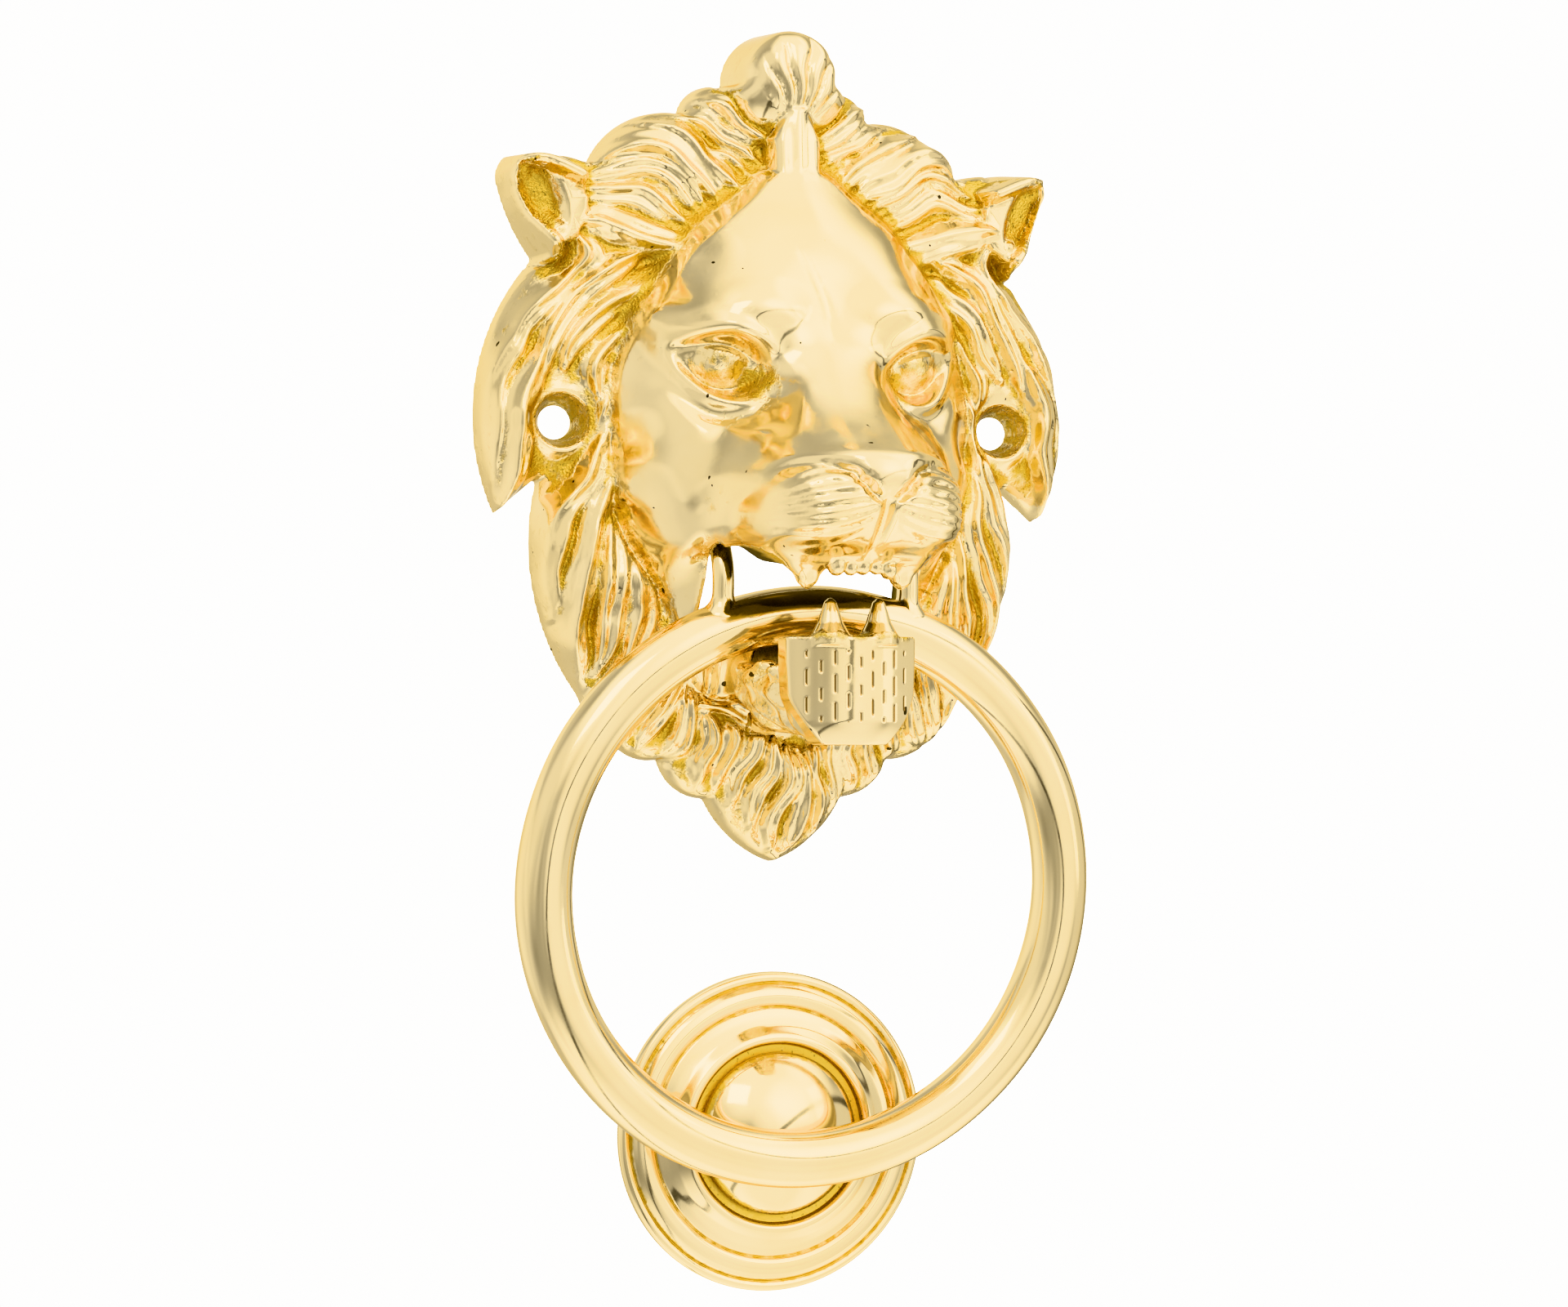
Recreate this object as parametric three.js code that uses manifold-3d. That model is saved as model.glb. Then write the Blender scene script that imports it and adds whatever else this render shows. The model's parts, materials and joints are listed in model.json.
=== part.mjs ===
/**
 * Brass lion-head door knocker: a hollow cast head with a separate lower jaw, a ring that
 * swings on a pin behind the upper lip, and a round strike plate with a domed button.
 *
 * Millimetres. X points right, Y points into the door and Z points up. The origin is on the
 * door's face, midway between the head's two fixing holes. "Depth" is the distance out of the
 * door, so a depth of d lies at y = -d.
 */
import * as THREE from 'three';
import { mergeVertices } from 'three/addons/utils/BufferGeometryUtils.js';
import Module from 'manifold-3d';

// ---------------------------------------------------------------- driving dimensions
const RUNNING_GAP = 0.3; // between two pieces that touch

const HOLE_SPACING = 86.2;
const HOLE_RADIUS = 3;
const COUNTERBORE = { radius: 4.6, floor: 7.5 };
const HOLE_BOSS = { radius: 8, back: 4.3, reliefRadius: 5.5 };

const WALL = 3; // thickness of the hollow casting
const HEAD_CELL = 4; // side of one facet of the relief
const HEAD_TOP = 74.6;
const HEAD_BOTTOM = -81.4;
const HEAD_HALF_WIDTH = 58;
const CAVITY = { z: -2, halfWidth: 40, halfHeight: 56, mouthDepth: 80 };
const MOUTH = { halfWidth: 20.5, top: -26.5, bottom: -42 };

const PIVOT = { depth: 21.6, z: -19, pinRadius: 1.9, halfLength: 24.6 };
const LUG = { inner: 20.8, outer: 25, radius: 5 };
const EYE_POCKET = { inner: 14, outer: 29, top: -13 }; // room for the arms' eyes behind the lip
const ARM_POCKET = { outer: 32, top: -21.5 }; // and for the arms as they swing

const RING = { radius: 49.8, bar: 5.2, depth: 22, z: -84.8, tiltDegrees: 3.9 };
const ARM = { x: 17.75, radius: 2.05, footRadius: 3.1, footHeight: 4, eyeRadius: 3.9, eyeWidth: 4.8 };
const ARM_CRANK = [[26.6, -31.5], [26, -25.5]]; // depth and Z of two points between ring and eye

const JAW = { top: -39.5, bottom: -58.7, topHalfWidth: 12, bottomHalfWidth: 7 };
const JAW_DEPTH = { back: 36.5, side: 41.5, front: 46.5 };
const JAW_CUP = { halfWidth: 13.5, inner: 20.5, outer: 28, top: -44.2, bottom: -57 };
const JAW_SEAT = { halfWidth: 8, depth: 12, neckDepth: 17.8 };
const JAW_TOOTH = { x: 4.5, depth: 43.5, tip: -32.6, radius: 3.1 };
const JAW_SCREW = { x: 4.2, z: -51, radius: 1.5, headRadius: 2.8, headHeight: 2, bossBack: 6, length: 14 };

const STRIKE_Z = -131.1;
const BUTTON = { domeRadius: 14.3, domeFoot: 7.4, domeTop: 13.3, collarRadius: 15, spigotRadius: 4.9 };
const STRIKE_SEAT = 5.2; // depth of the flat that the button's collar sits on
const BUTTON_NUT = { acrossFlats: 15, back: 0.4, thickness: 2.2 };

const ROUND_STEPS = 20; // facets round a small cylinder
const LATHE_STEPS = 36;

// The right half of the head's outline from the crown down to the beard. Each step is one lock,
// curl or edge: where it ends, and how far it swells out (sagitta over half the chord).
const HALF_OUTLINE = [
  { to: [10.2, 64.0], bulge: 0.41, name: 'crown tuft' },
  { to: [18.8, 58.8], bulge: 0.4, name: 'small curl' },
  { to: [36.2, 48.8], bulge: 0.32, name: 'big curl' },
  { to: [51.6, 49.2], bulge: 0.14, name: 'top of the ear' },
  { to: [53.4, 43.6], bulge: 0.3, name: 'ear tip' },
  { to: [47.0, 30.0], bulge: 0.1, name: 'side of the ear' },
  { to: [53.6, -17.5], bulge: 0.3, name: 'side mane' },
  { to: [46.0, -11.0], bulge: 0.02, name: 'under the side lock' },
  { to: [38.0, -50.0], bulge: 0.22, name: 'lower mane' },
  { to: [29.5, -60.5], bulge: 0.16, name: 'second lock' },
  { to: [22.6, -62.3], bulge: 0.2, name: 'lock tip' },
  { to: [13.6, -69.5], bulge: 0.32, name: 'third lock' },
  { to: [0.0, HEAD_BOTTOM], bulge: 0.2, name: 'beard' },
];

// The masses of the relief: half-ellipsoids standing on a base depth, boxier where fullness is
// below a half. Those with x > 0 are repeated on the left.
const MASSES = [
  { name: 'mane field', x: 0, z: -5, rx: 70, rz: 92, base: -2, rise: 18 },
  { name: 'crown tuft', x: 0, z: 65, rx: 11.5, rz: 11.5, base: 4, rise: 13 },
  { name: 'big curl', x: 26, z: 50, rx: 14, rz: 10, base: 3, rise: 11 },
  { name: 'ear', x: 45.5, z: 41, rx: 10, rz: 12, base: 2, rise: 14 },
  { name: 'side mane', x: 47, z: 2, rx: 14, rz: 24, base: 0, rise: 12 },
  { name: 'lower mane', x: 36, z: -30, rx: 15, rz: 24, base: 0, rise: 15 },
  { name: 'forehead', x: 0, z: 22, rx: 33, rz: 28, base: 8, rise: 21 },
  { name: 'brow', x: 13, z: 16, rx: 14, rz: 9, base: 20, rise: 16 },
  { name: 'cheek', x: 21, z: -9, rx: 14, rz: 20, base: 6, rise: 25 },
  { name: 'muzzle root', x: 0, z: -13, rx: 29, rz: 21, base: 18, rise: 27, fullness: 0.35 },
  { name: 'nose', x: 0, z: -10, rx: 14.5, rz: 30, base: 16, rise: 52, fullness: 0.4 },
  { name: 'muzzle pad', x: 9.2, z: -17.5, rx: 11.5, rz: 12, base: 34, rise: 29, fullness: 0.35 },
  { name: 'beard', x: 0, z: -63, rx: 20, rz: 18, base: 0, rise: 15 },
];

// ---------------------------------------------------------------- tools
const wasm = await Module();
wasm.setup();

/** A closed three.js geometry as a manifold solid. */
function solid(geometry) {
  const bare = geometry.clone();
  bare.deleteAttribute('normal');
  bare.deleteAttribute('uv');
  const merged = mergeVertices(bare, 1e-4);
  return new wasm.Manifold(new wasm.Mesh({
    numProp: 3,
    vertProperties: new Float32Array(merged.attributes.position.array),
    triVerts: new Uint32Array(merged.index.array),
  }));
}

/** A manifold solid as a three.js geometry. */
function geometryOf(body) {
  const mesh = body.getMesh();
  const geometry = new THREE.BufferGeometry();
  geometry.setAttribute('position', new THREE.BufferAttribute(mesh.vertProperties, 3));
  geometry.setIndex(new THREE.BufferAttribute(mesh.triVerts, 1));
  geometry.computeVertexNormals();
  return geometry;
}

/** Joins solids into one. */
function join(first, ...others) {
  return others.reduce((sum, other) => sum.add(other), first);
}

/** Cuts the other solids out of the first. */
function cut(first, ...others) {
  return others.reduce((rest, other) => rest.subtract(other), first);
}

/** A flat shape in X and Z, extruded outwards from one depth to another. */
function plate(shape, fromDepth, toDepth) {
  const geometry = new THREE.ExtrudeGeometry(shape, { depth: toDepth - fromDepth, bevelEnabled: false });
  geometry.translate(0, 0, fromDepth);
  geometry.rotateX(Math.PI / 2);
  return solid(geometry);
}

/** A flat shape in X and Y, extruded upwards from one height to another. */
function column(shape, low, high) {
  const geometry = new THREE.ExtrudeGeometry(shape, { depth: high - low, bevelEnabled: false });
  geometry.translate(0, 0, low);
  return solid(geometry);
}

/** A box given by its X, depth and Z limits. */
function block([left, right], [nearDoor, outer], [low, high]) {
  const geometry = new THREE.BoxGeometry(right - left, outer - nearDoor, high - low);
  geometry.translate((left + right) / 2, -(nearDoor + outer) / 2, (low + high) / 2);
  return solid(geometry);
}

/** A round bar along the depth direction. */
function rodOut(x, z, radius, fromDepth, toDepth, steps = ROUND_STEPS) {
  const geometry = new THREE.CylinderGeometry(radius, radius, toDepth - fromDepth, steps);
  geometry.translate(x, -(fromDepth + toDepth) / 2, z);
  return solid(geometry);
}

/** A round bar across the knocker, centred at x on the pivot's axis. */
function rodAcross(x, radius, length, steps = ROUND_STEPS) {
  const geometry = new THREE.CylinderGeometry(radius, radius, length, steps);
  geometry.rotateZ(Math.PI / 2);
  geometry.translate(x, -PIVOT.depth, PIVOT.z);
  return solid(geometry);
}

/** A turned piece: its profile gives radius and depth, and turns about an axis out of the door. */
function turned(profile, z) {
  const points = profile.map(([radius, depth]) => new THREE.Vector2(radius, depth));
  const geometry = new THREE.LatheGeometry(points, LATHE_STEPS);
  geometry.rotateX(Math.PI);
  geometry.translate(0, 0, z);
  return solid(geometry);
}

/** Points along a circular arc that swells to the left of the way from start to end. */
function arcPoints([startX, startZ], [endX, endZ], bulge) {
  const start = new THREE.Vector2(startX, startZ);
  const end = new THREE.Vector2(endX, endZ);
  const chord = end.clone().sub(start);
  const left = new THREE.Vector2(-chord.y, chord.x).normalize();
  const sweep = 4 * Math.atan(bulge);
  const radius = chord.length() / (2 * Math.sin(sweep / 2));
  const sagitta = (bulge * chord.length()) / 2;
  const centre = start.clone().lerp(end, 0.5).addScaledVector(left, sagitta - radius);
  const steps = Math.max(1, Math.round(sweep / 0.3));
  return Array.from({ length: steps }, (_, i) => (
    start.clone().rotateAround(centre, (-sweep * (i + 1)) / steps)
  ));
}

// ---------------------------------------------------------------- head
/** The whole outline of the head: the right half, then its mirror image. */
function headOutline() {
  const right = [new THREE.Vector2(0, HEAD_TOP)];
  for (const { to, bulge } of HALF_OUTLINE) {
    const from = right[right.length - 1];
    right.push(...arcPoints([from.x, from.y], to, bulge));
  }
  const left = right.slice(1, -1).reverse().map((point) => new THREE.Vector2(-point.x, point.y));
  return new THREE.Shape([...right, ...left]);
}

/** Depth of the relief's surface at a point of the front view. */
function reliefDepth(x, z) {
  const across = Math.abs(x);
  const depths = MASSES.map((mass) => {
    const inside = 1 - ((across - mass.x) / mass.rx) ** 2 - ((z - mass.z) / mass.rz) ** 2;
    return inside > 0 ? mass.base + mass.rise * inside ** (mass.fullness ?? 0.5) : 0;
  });
  return Math.max(...depths);
}

/** Depth of the hollow behind the relief: the lowest surface depth nearby, less the wall. */
function hollowDepth(x, z) {
  const reach = WALL + HEAD_CELL / 2;
  const around = [reliefDepth(x, z)];
  for (let i = 0; i < 12; i += 1) {
    const angle = (i * Math.PI) / 6;
    around.push(reliefDepth(x + reach * Math.cos(angle), z + reach * Math.sin(angle)));
  }
  return Math.min(...around) - WALL;
}

/** The block between the door and a depth function, with facets of the given size. */
function reliefBlock(depthAt, cell) {
  const width = 2 * HEAD_HALF_WIDTH + 8;
  const height = HEAD_TOP - HEAD_BOTTOM + 6;
  const middle = (HEAD_TOP + HEAD_BOTTOM) / 2;
  const geometry = new THREE.BoxGeometry(
    width, height, 2, Math.round(width / cell), Math.round(height / cell), 1,
  );
  geometry.translate(0, middle, 0);
  const position = geometry.attributes.position;
  for (let i = 0; i < position.count; i += 1) {
    if (position.getZ(i) > 0) {
      position.setZ(i, Math.max(depthAt(position.getX(i), position.getY(i)), 0));
    }
  }
  geometry.rotateX(Math.PI / 2);
  return solid(geometry);
}

function lionHead() {
  const outline = headOutline();
  const full = plate(outline, 0, CAVITY.mouthDepth).intersect(reliefBlock(reliefDepth, HEAD_CELL));

  const cavityShape = new THREE.Shape();
  cavityShape.absellipse(0, CAVITY.z, CAVITY.halfWidth, CAVITY.halfHeight, 0, 2 * Math.PI);
  const cavity = plate(cavityShape, -1, CAVITY.mouthDepth).intersect(reliefBlock(hollowDepth, HEAD_CELL + 1));
  const pocketWidth = [-LUG.inner + RUNNING_GAP, LUG.inner - RUNNING_GAP];
  const eyePocket = block(pocketWidth, [EYE_POCKET.inner, EYE_POCKET.outer], [MOUTH.top - 1, EYE_POCKET.top]);
  const armPocket = block(pocketWidth, [EYE_POCKET.inner, ARM_POCKET.outer], [MOUTH.top - 1, ARM_POCKET.top]);
  let head = cut(full, cavity, eyePocket, armPocket);

  // Solid bosses cast inside: round the fixing holes, for the pin, and behind the jaw's seat.
  for (const side of [-1, 1]) {
    const holeX = (side * HOLE_SPACING) / 2;
    head = head.add(rodOut(holeX, 0, HOLE_BOSS.radius, HOLE_BOSS.back, 30).intersect(full));
    const lugX = (side * (LUG.inner + LUG.outer)) / 2;
    const lugWidth = LUG.outer - LUG.inner;
    const reach = block(
      [lugX - lugWidth / 2, lugX + lugWidth / 2],
      [PIVOT.depth, PIVOT.depth + 20],
      [PIVOT.z - LUG.radius, PIVOT.z + LUG.radius],
    );
    const lug = rodAcross(lugX, LUG.radius, lugWidth).add(reach);
    head = head.add(lug.intersect(full));
  }
  const jawBoss = block(
    [-JAW_SEAT.halfWidth - 2, JAW_SEAT.halfWidth + 2],
    [JAW_SCREW.bossBack, 30],
    [JAW_CUP.bottom - 2, MOUTH.bottom],
  );
  head = head.add(jawBoss.intersect(full));

  // Openings: the mouth, the jaw's seat, and the holes.
  head = cut(
    head,
    block([-MOUTH.halfWidth, MOUTH.halfWidth], [-1, 90], [MOUTH.bottom, MOUTH.top]),
    block(
      [-JAW_SEAT.halfWidth - RUNNING_GAP, JAW_SEAT.halfWidth + RUNNING_GAP],
      [JAW_SEAT.depth, 60],
      [JAW_CUP.bottom - RUNNING_GAP, MOUTH.bottom + 1],
    ),
    rodAcross(0, PIVOT.pinRadius + RUNNING_GAP, 2 * (PIVOT.halfLength + RUNNING_GAP)),
  );
  for (const side of [-1, 1]) {
    const holeX = (side * HOLE_SPACING) / 2;
    head = cut(
      head,
      rodOut(holeX, 0, HOLE_RADIUS, -1, 40),
      rodOut(holeX, 0, COUNTERBORE.radius, COUNTERBORE.floor, 40),
      rodOut(holeX, 0, HOLE_BOSS.reliefRadius, -1, HOLE_BOSS.back),
      rodOut(side * JAW_SCREW.x, JAW_SCREW.z, JAW_SCREW.radius + RUNNING_GAP, -1, 40),
    );
  }
  return head;
}

function pivotPin() {
  return rodAcross(0, PIVOT.pinRadius, 2 * PIVOT.halfLength);
}

// ---------------------------------------------------------------- lower jaw
/** The chin seen from the front: a tapered plate with a rounded foot. */
function chinFront() {
  const foot = 4;
  const shape = new THREE.Shape();
  shape.moveTo(-JAW.topHalfWidth, JAW.top);
  shape.lineTo(-JAW.bottomHalfWidth - foot / 2, JAW.bottom + foot);
  shape.quadraticCurveTo(-JAW.bottomHalfWidth, JAW.bottom, -JAW.bottomHalfWidth + foot, JAW.bottom);
  shape.lineTo(JAW.bottomHalfWidth - foot, JAW.bottom);
  shape.quadraticCurveTo(JAW.bottomHalfWidth, JAW.bottom, JAW.bottomHalfWidth + foot / 2, JAW.bottom + foot);
  shape.lineTo(JAW.topHalfWidth, JAW.top);
  shape.closePath();
  return shape;
}

/** The chin seen from above: flat behind, bowed in front. */
function chinPlan() {
  const { back, side, front } = JAW_DEPTH;
  const shape = new THREE.Shape();
  shape.moveTo(-JAW.topHalfWidth, -back);
  shape.lineTo(-JAW.topHalfWidth, -side);
  shape.quadraticCurveTo(0, side - 2 * front, JAW.topHalfWidth, -side);
  shape.lineTo(JAW.topHalfWidth, -back);
  shape.closePath();
  return shape;
}

/** The cup seen from above: a neck on the head's seat, wide under the ring, narrower at the chin. */
function cupPlan() {
  const half = [
    [JAW_SEAT.halfWidth, JAW_SEAT.depth + RUNNING_GAP],
    [JAW_SEAT.halfWidth, JAW_SEAT.neckDepth],
    [JAW_CUP.halfWidth, JAW_CUP.inner],
    [JAW_CUP.halfWidth, JAW_CUP.outer],
    [JAW.topHalfWidth - 2, JAW_DEPTH.back + 1],
  ];
  const right = half.map(([x, depth]) => new THREE.Vector2(x, -depth));
  const left = half.map(([x, depth]) => new THREE.Vector2(-x, -depth)).reverse();
  return new THREE.Shape([...right, ...left]);
}

function jawTooth(side) {
  const foot = JAW.top - 3;
  const height = JAW_TOOTH.tip - foot;
  const geometry = new THREE.ConeGeometry(JAW_TOOTH.radius, height, 8);
  geometry.rotateX(Math.PI / 2);
  geometry.translate(side * JAW_TOOTH.x, -JAW_TOOTH.depth, foot + height / 2);
  return solid(geometry);
}

function lowerJaw() {
  const chin = plate(chinFront(), 0, JAW_DEPTH.front + 1).intersect(column(chinPlan(), JAW.bottom - 1, JAW.top + 1));
  const cup = column(cupPlan(), JAW_CUP.bottom, JAW_CUP.top);
  const whole = join(chin, cup, jawTooth(-1), jawTooth(1));
  const deepEnd = JAW_SCREW.bossBack + JAW_SCREW.length + 1;
  const holes = [-1, 1].map((side) => (
    rodOut(side * JAW_SCREW.x, JAW_SCREW.z, JAW_SCREW.radius + RUNNING_GAP, 0, deepEnd, 12)
  ));
  return cut(whole, ...holes);
}

/** A screw from behind, through the boss and into the jaw's arm. */
function jawScrew(side) {
  const x = side * JAW_SCREW.x;
  const headFront = JAW_SCREW.bossBack - RUNNING_GAP;
  const shank = rodOut(x, JAW_SCREW.z, JAW_SCREW.radius, headFront - 1, headFront + JAW_SCREW.length, 12);
  const head = rodOut(x, JAW_SCREW.z, JAW_SCREW.headRadius, headFront - JAW_SCREW.headHeight, headFront, 16);
  const slot = block(
    [x - JAW_SCREW.headRadius, x + JAW_SCREW.headRadius],
    [0, headFront - JAW_SCREW.headHeight + 0.8],
    [JAW_SCREW.z - 0.4, JAW_SCREW.z + 0.4],
  );
  return cut(join(head, shank), slot);
}

// ---------------------------------------------------------------- ring
/** The round bar bent to a ring. */
function ringBar() {
  const geometry = new THREE.TorusGeometry(RING.radius, RING.bar, 12, 56);
  geometry.rotateX(Math.PI / 2);
  geometry.rotateX(THREE.MathUtils.degToRad(RING.tiltDegrees));
  geometry.translate(0, -RING.depth, RING.z);
  return solid(geometry);
}

/** One of the two cranked arms that carry the ring, from the bar up to its eye on the pin. */
function ringArm(side) {
  const tilt = THREE.MathUtils.degToRad(RING.tiltDegrees);
  const rise = Math.sqrt(RING.radius ** 2 - ARM.x ** 2);
  const x = side * ARM.x;
  const foot = new THREE.Vector3(x, -RING.depth - rise * Math.sin(tilt), RING.z + rise * Math.cos(tilt));
  const crank = ARM_CRANK.map(([depth, z]) => new THREE.Vector3(x, -depth, z));
  const eye = new THREE.Vector3(x, -PIVOT.depth, PIVOT.z);
  const section = new THREE.Shape();
  section.absarc(0, 0, ARM.radius, 0, 2 * Math.PI);
  const bar = solid(new THREE.ExtrudeGeometry(section, {
    extrudePath: new THREE.CatmullRomCurve3([foot, ...crank, eye]),
    steps: 12,
    curveSegments: 7,
    bevelEnabled: false,
  }));
  const flare = new THREE.CylinderGeometry(ARM.radius, ARM.footRadius, ARM.footHeight, 12);
  flare.rotateX(Math.PI / 2);
  flare.translate(foot.x, foot.y, foot.z + RING.bar);
  return join(bar, solid(flare), rodAcross(x, ARM.eyeRadius, ARM.eyeWidth));
}

function knockerRing() {
  const whole = join(ringBar(), ringArm(-1), ringArm(1));
  return cut(whole, rodAcross(0, PIVOT.pinRadius + RUNNING_GAP, 2 * LUG.outer));
}

// ---------------------------------------------------------------- strike plate
function strikeRose() {
  return turned([
    [5.3, 3],
    [14, 3],
    [20, 2],
    [26, 1.2],
    [26.5, 0],
    [29, 0],
    [29.8, 0.8],
    [29.8, 2.2],
    [28.9, 3.1],
    [27.8, 2.6],
    [27, 3.5],
    [25.4, 4.1],
    [23.8, 3.9],
    [23.4, 3.4],
    [22.8, 3.9],
    [18.5, 6.3],
    [17.4, 6.7],
    [16.8, 6.2],
    [16.6, STRIKE_SEAT],
    [5.3, STRIKE_SEAT],
    [5.3, 3],
  ], STRIKE_Z);
}

function strikeButton() {
  const sagitta = BUTTON.domeTop - BUTTON.domeFoot;
  const radius = (BUTTON.domeRadius ** 2 + sagitta ** 2) / (2 * sagitta);
  const centre = BUTTON.domeTop - radius;
  const domeSteps = 8;
  const dome = Array.from({ length: domeSteps + 1 }, (_, i) => {
    const angle = (Math.asin(BUTTON.domeRadius / radius) * (domeSteps - i)) / domeSteps;
    return [radius * Math.sin(angle), centre + radius * Math.cos(angle)];
  });
  dome[domeSteps][0] = 0;
  const back = BUTTON_NUT.back;
  return turned([
    [0, 9.5],
    [2.5, 9],
    [2.5, back],
    [BUTTON.spigotRadius, back],
    [BUTTON.spigotRadius, STRIKE_SEAT + RUNNING_GAP],
    [BUTTON.collarRadius, STRIKE_SEAT + RUNNING_GAP],
    [BUTTON.collarRadius, BUTTON.domeFoot - 0.5],
    [BUTTON.domeRadius + 0.2, BUTTON.domeFoot - 0.2],
    ...dome,
  ], STRIKE_Z);
}

/** The thin hexagonal nut on the button's spigot, inside the rose's hollow back. */
function buttonNut() {
  const corner = BUTTON_NUT.acrossFlats / Math.sqrt(3);
  const { back, thickness } = BUTTON_NUT;
  const hexagon = rodOut(0, STRIKE_Z, corner, back, back + thickness, 6);
  return cut(hexagon, rodOut(0, STRIKE_Z, BUTTON.spigotRadius + RUNNING_GAP, -1, 10, LATHE_STEPS));
}

// ---------------------------------------------------------------- assembly
const POLISHED_BRASS = { color: 0xd9b560, roughness: 0.18, metalness: 1 };
const STEEL = { color: 0x8d8f92, roughness: 0.4, metalness: 1 };

const group = new THREE.Group();

function place(name, body, look) {
  const mesh = new THREE.Mesh(geometryOf(body), new THREE.MeshStandardMaterial(look));
  mesh.name = name;
  group.add(mesh);
}

place('lion_head', lionHead(), POLISHED_BRASS);
place('lower_jaw', lowerJaw(), POLISHED_BRASS);
place('jaw_screw_left', jawScrew(-1), STEEL);
place('jaw_screw_right', jawScrew(1), STEEL);
place('pivot_pin', pivotPin(), STEEL);
place('knocker_ring', knockerRing(), POLISHED_BRASS);
place('strike_rose', strikeRose(), POLISHED_BRASS);
place('strike_button', strikeButton(), POLISHED_BRASS);
place('button_nut', buttonNut(), POLISHED_BRASS);

export default group;
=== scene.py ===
"""Brass lion-head door knocker: the looks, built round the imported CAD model.

Every shape is worked out in millimetres as x (right), d (depth, out of the door) and z (up),
and becomes metres in the part's frame only when its mesh is made: X = x, Y = -d, Z = z.
"""
import json
import math

import bmesh
import bpy
import numpy as np
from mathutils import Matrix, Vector


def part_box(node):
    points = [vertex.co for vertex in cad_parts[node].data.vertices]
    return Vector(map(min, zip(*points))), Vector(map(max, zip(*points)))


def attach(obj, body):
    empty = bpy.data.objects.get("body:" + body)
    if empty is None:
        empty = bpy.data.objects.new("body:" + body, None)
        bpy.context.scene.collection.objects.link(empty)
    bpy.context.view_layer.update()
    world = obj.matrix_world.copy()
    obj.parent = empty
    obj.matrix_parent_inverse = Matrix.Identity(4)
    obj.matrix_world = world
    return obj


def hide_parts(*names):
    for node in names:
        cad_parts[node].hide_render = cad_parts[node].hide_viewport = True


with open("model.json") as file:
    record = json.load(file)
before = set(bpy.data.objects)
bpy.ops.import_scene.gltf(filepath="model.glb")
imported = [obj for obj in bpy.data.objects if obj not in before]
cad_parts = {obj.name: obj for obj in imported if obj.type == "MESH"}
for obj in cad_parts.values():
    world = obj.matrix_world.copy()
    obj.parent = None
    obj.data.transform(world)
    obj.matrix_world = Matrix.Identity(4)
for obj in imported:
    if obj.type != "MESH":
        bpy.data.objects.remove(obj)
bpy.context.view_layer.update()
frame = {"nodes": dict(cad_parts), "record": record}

MM = 0.001


def node_mm(name):
    """A CAD node's limits as (x, d, z) lows and highs, in millimetres."""
    low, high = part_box(name)
    return (np.array([low.x, -high.y, low.z]) / MM, np.array([high.x, -low.y, high.z]) / MM)


HEAD_LOW, HEAD_HIGH = node_mm("lion_head")
RING_LOW, RING_HIGH = node_mm("knocker_ring")
JAW_LOW, JAW_HIGH = node_mm("lower_jaw")
ROSE_LOW, ROSE_HIGH = node_mm("strike_rose")
BUTTON_TOP = node_mm("strike_button")[1][1]
PIVOT = np.array(frame["record"]["behaviour"]["joints"][0]["pos_m"]) / MM

# ------------------------------------------------------------------ driving sizes of the head
CELL = 0.5  # side of one sculpting cell
MAX_TRIANGLES = 190000
WALL = 3.0
HOLE_X = 43.1  # the fixing holes, left and right of the middle
HOLE_RADIUS = 3.05
HOLE_RIM_RADIUS = 4.7
HOLE_RIM_DEPTH = 10.9
HOLE_WEB_BACK = 4.3
SINK_START, SINK_SLOPE, RIM_FLOOR = 5.0, 0.36, 9.4  # the countersink, and the depth its rim is cut to
MOUTH_BOTTOM, MOUTH_TOP, MOUTH_HALF = -39.2, -22.4, 20.0
LOCK_BREADTH, LOCK_RISE = 1.18, 0.92  # how much the locks below are widened and lowered
TUFT_Z, TUFT_RADIUS = 64.2, 11.4  # the round tuft on the crown

# ------------------------------------------------------------------ driving sizes of the jaw
JAW_OFFSET = 1.2  # the chin sits this far to the right of the middle
JAW_CELL = 0.24
CHIN_TOP, CHIN_BACK, CHIN_FRONT, CHIN_HALF = -39.5, 36.6, 46.4, 12.2
SCREW_X, SCREW_Z, SCREW_HOLE_RADIUS = 4.2, -51, 1.8
CUT_PITCH, CUT_BEAT, CUT_STAGGER = 2.3, 4.9, 0.618  # short cuts: column pitch, spacing up, shift
CUT_HALF, CUT_BACK, CUT_LOW, CUT_HIGH = 10.9, 40.5, -54.6, -42.0  # where the chin's front has them

# ------------------------------------------------------------------ driving sizes of the ring
BAR_RADIUS, BAR_DEPTH, RING_TILT = 5.2, 22.0, math.radians(3.9)
ARM_X = 17.75  # the two arms, left and right of the middle

# The right half of the head's outline, from the crown to the beard: where each lock or curl
# ends, and how far it swells out (sagitta over half the chord).
HALF_OUTLINE = [
    ((10.2, 64.0), 0.41),
    ((18.8, 58.8), 0.40),
    ((36.2, 48.8), 0.32),
    ((51.6, 49.2), 0.14),
    ((53.4, 43.6), 0.30),
    ((47.0, 30.0), 0.10),
    ((53.6, -17.5), 0.30),
    ((46.0, -11.0), 0.02),
    ((38.0, -50.0), 0.22),
    ((29.5, -60.5), 0.16),
    ((22.6, -62.3), 0.20),
    ((13.6, -69.5), 0.32),
    ((0.0, HEAD_LOW[2]), 0.20),
]

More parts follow.
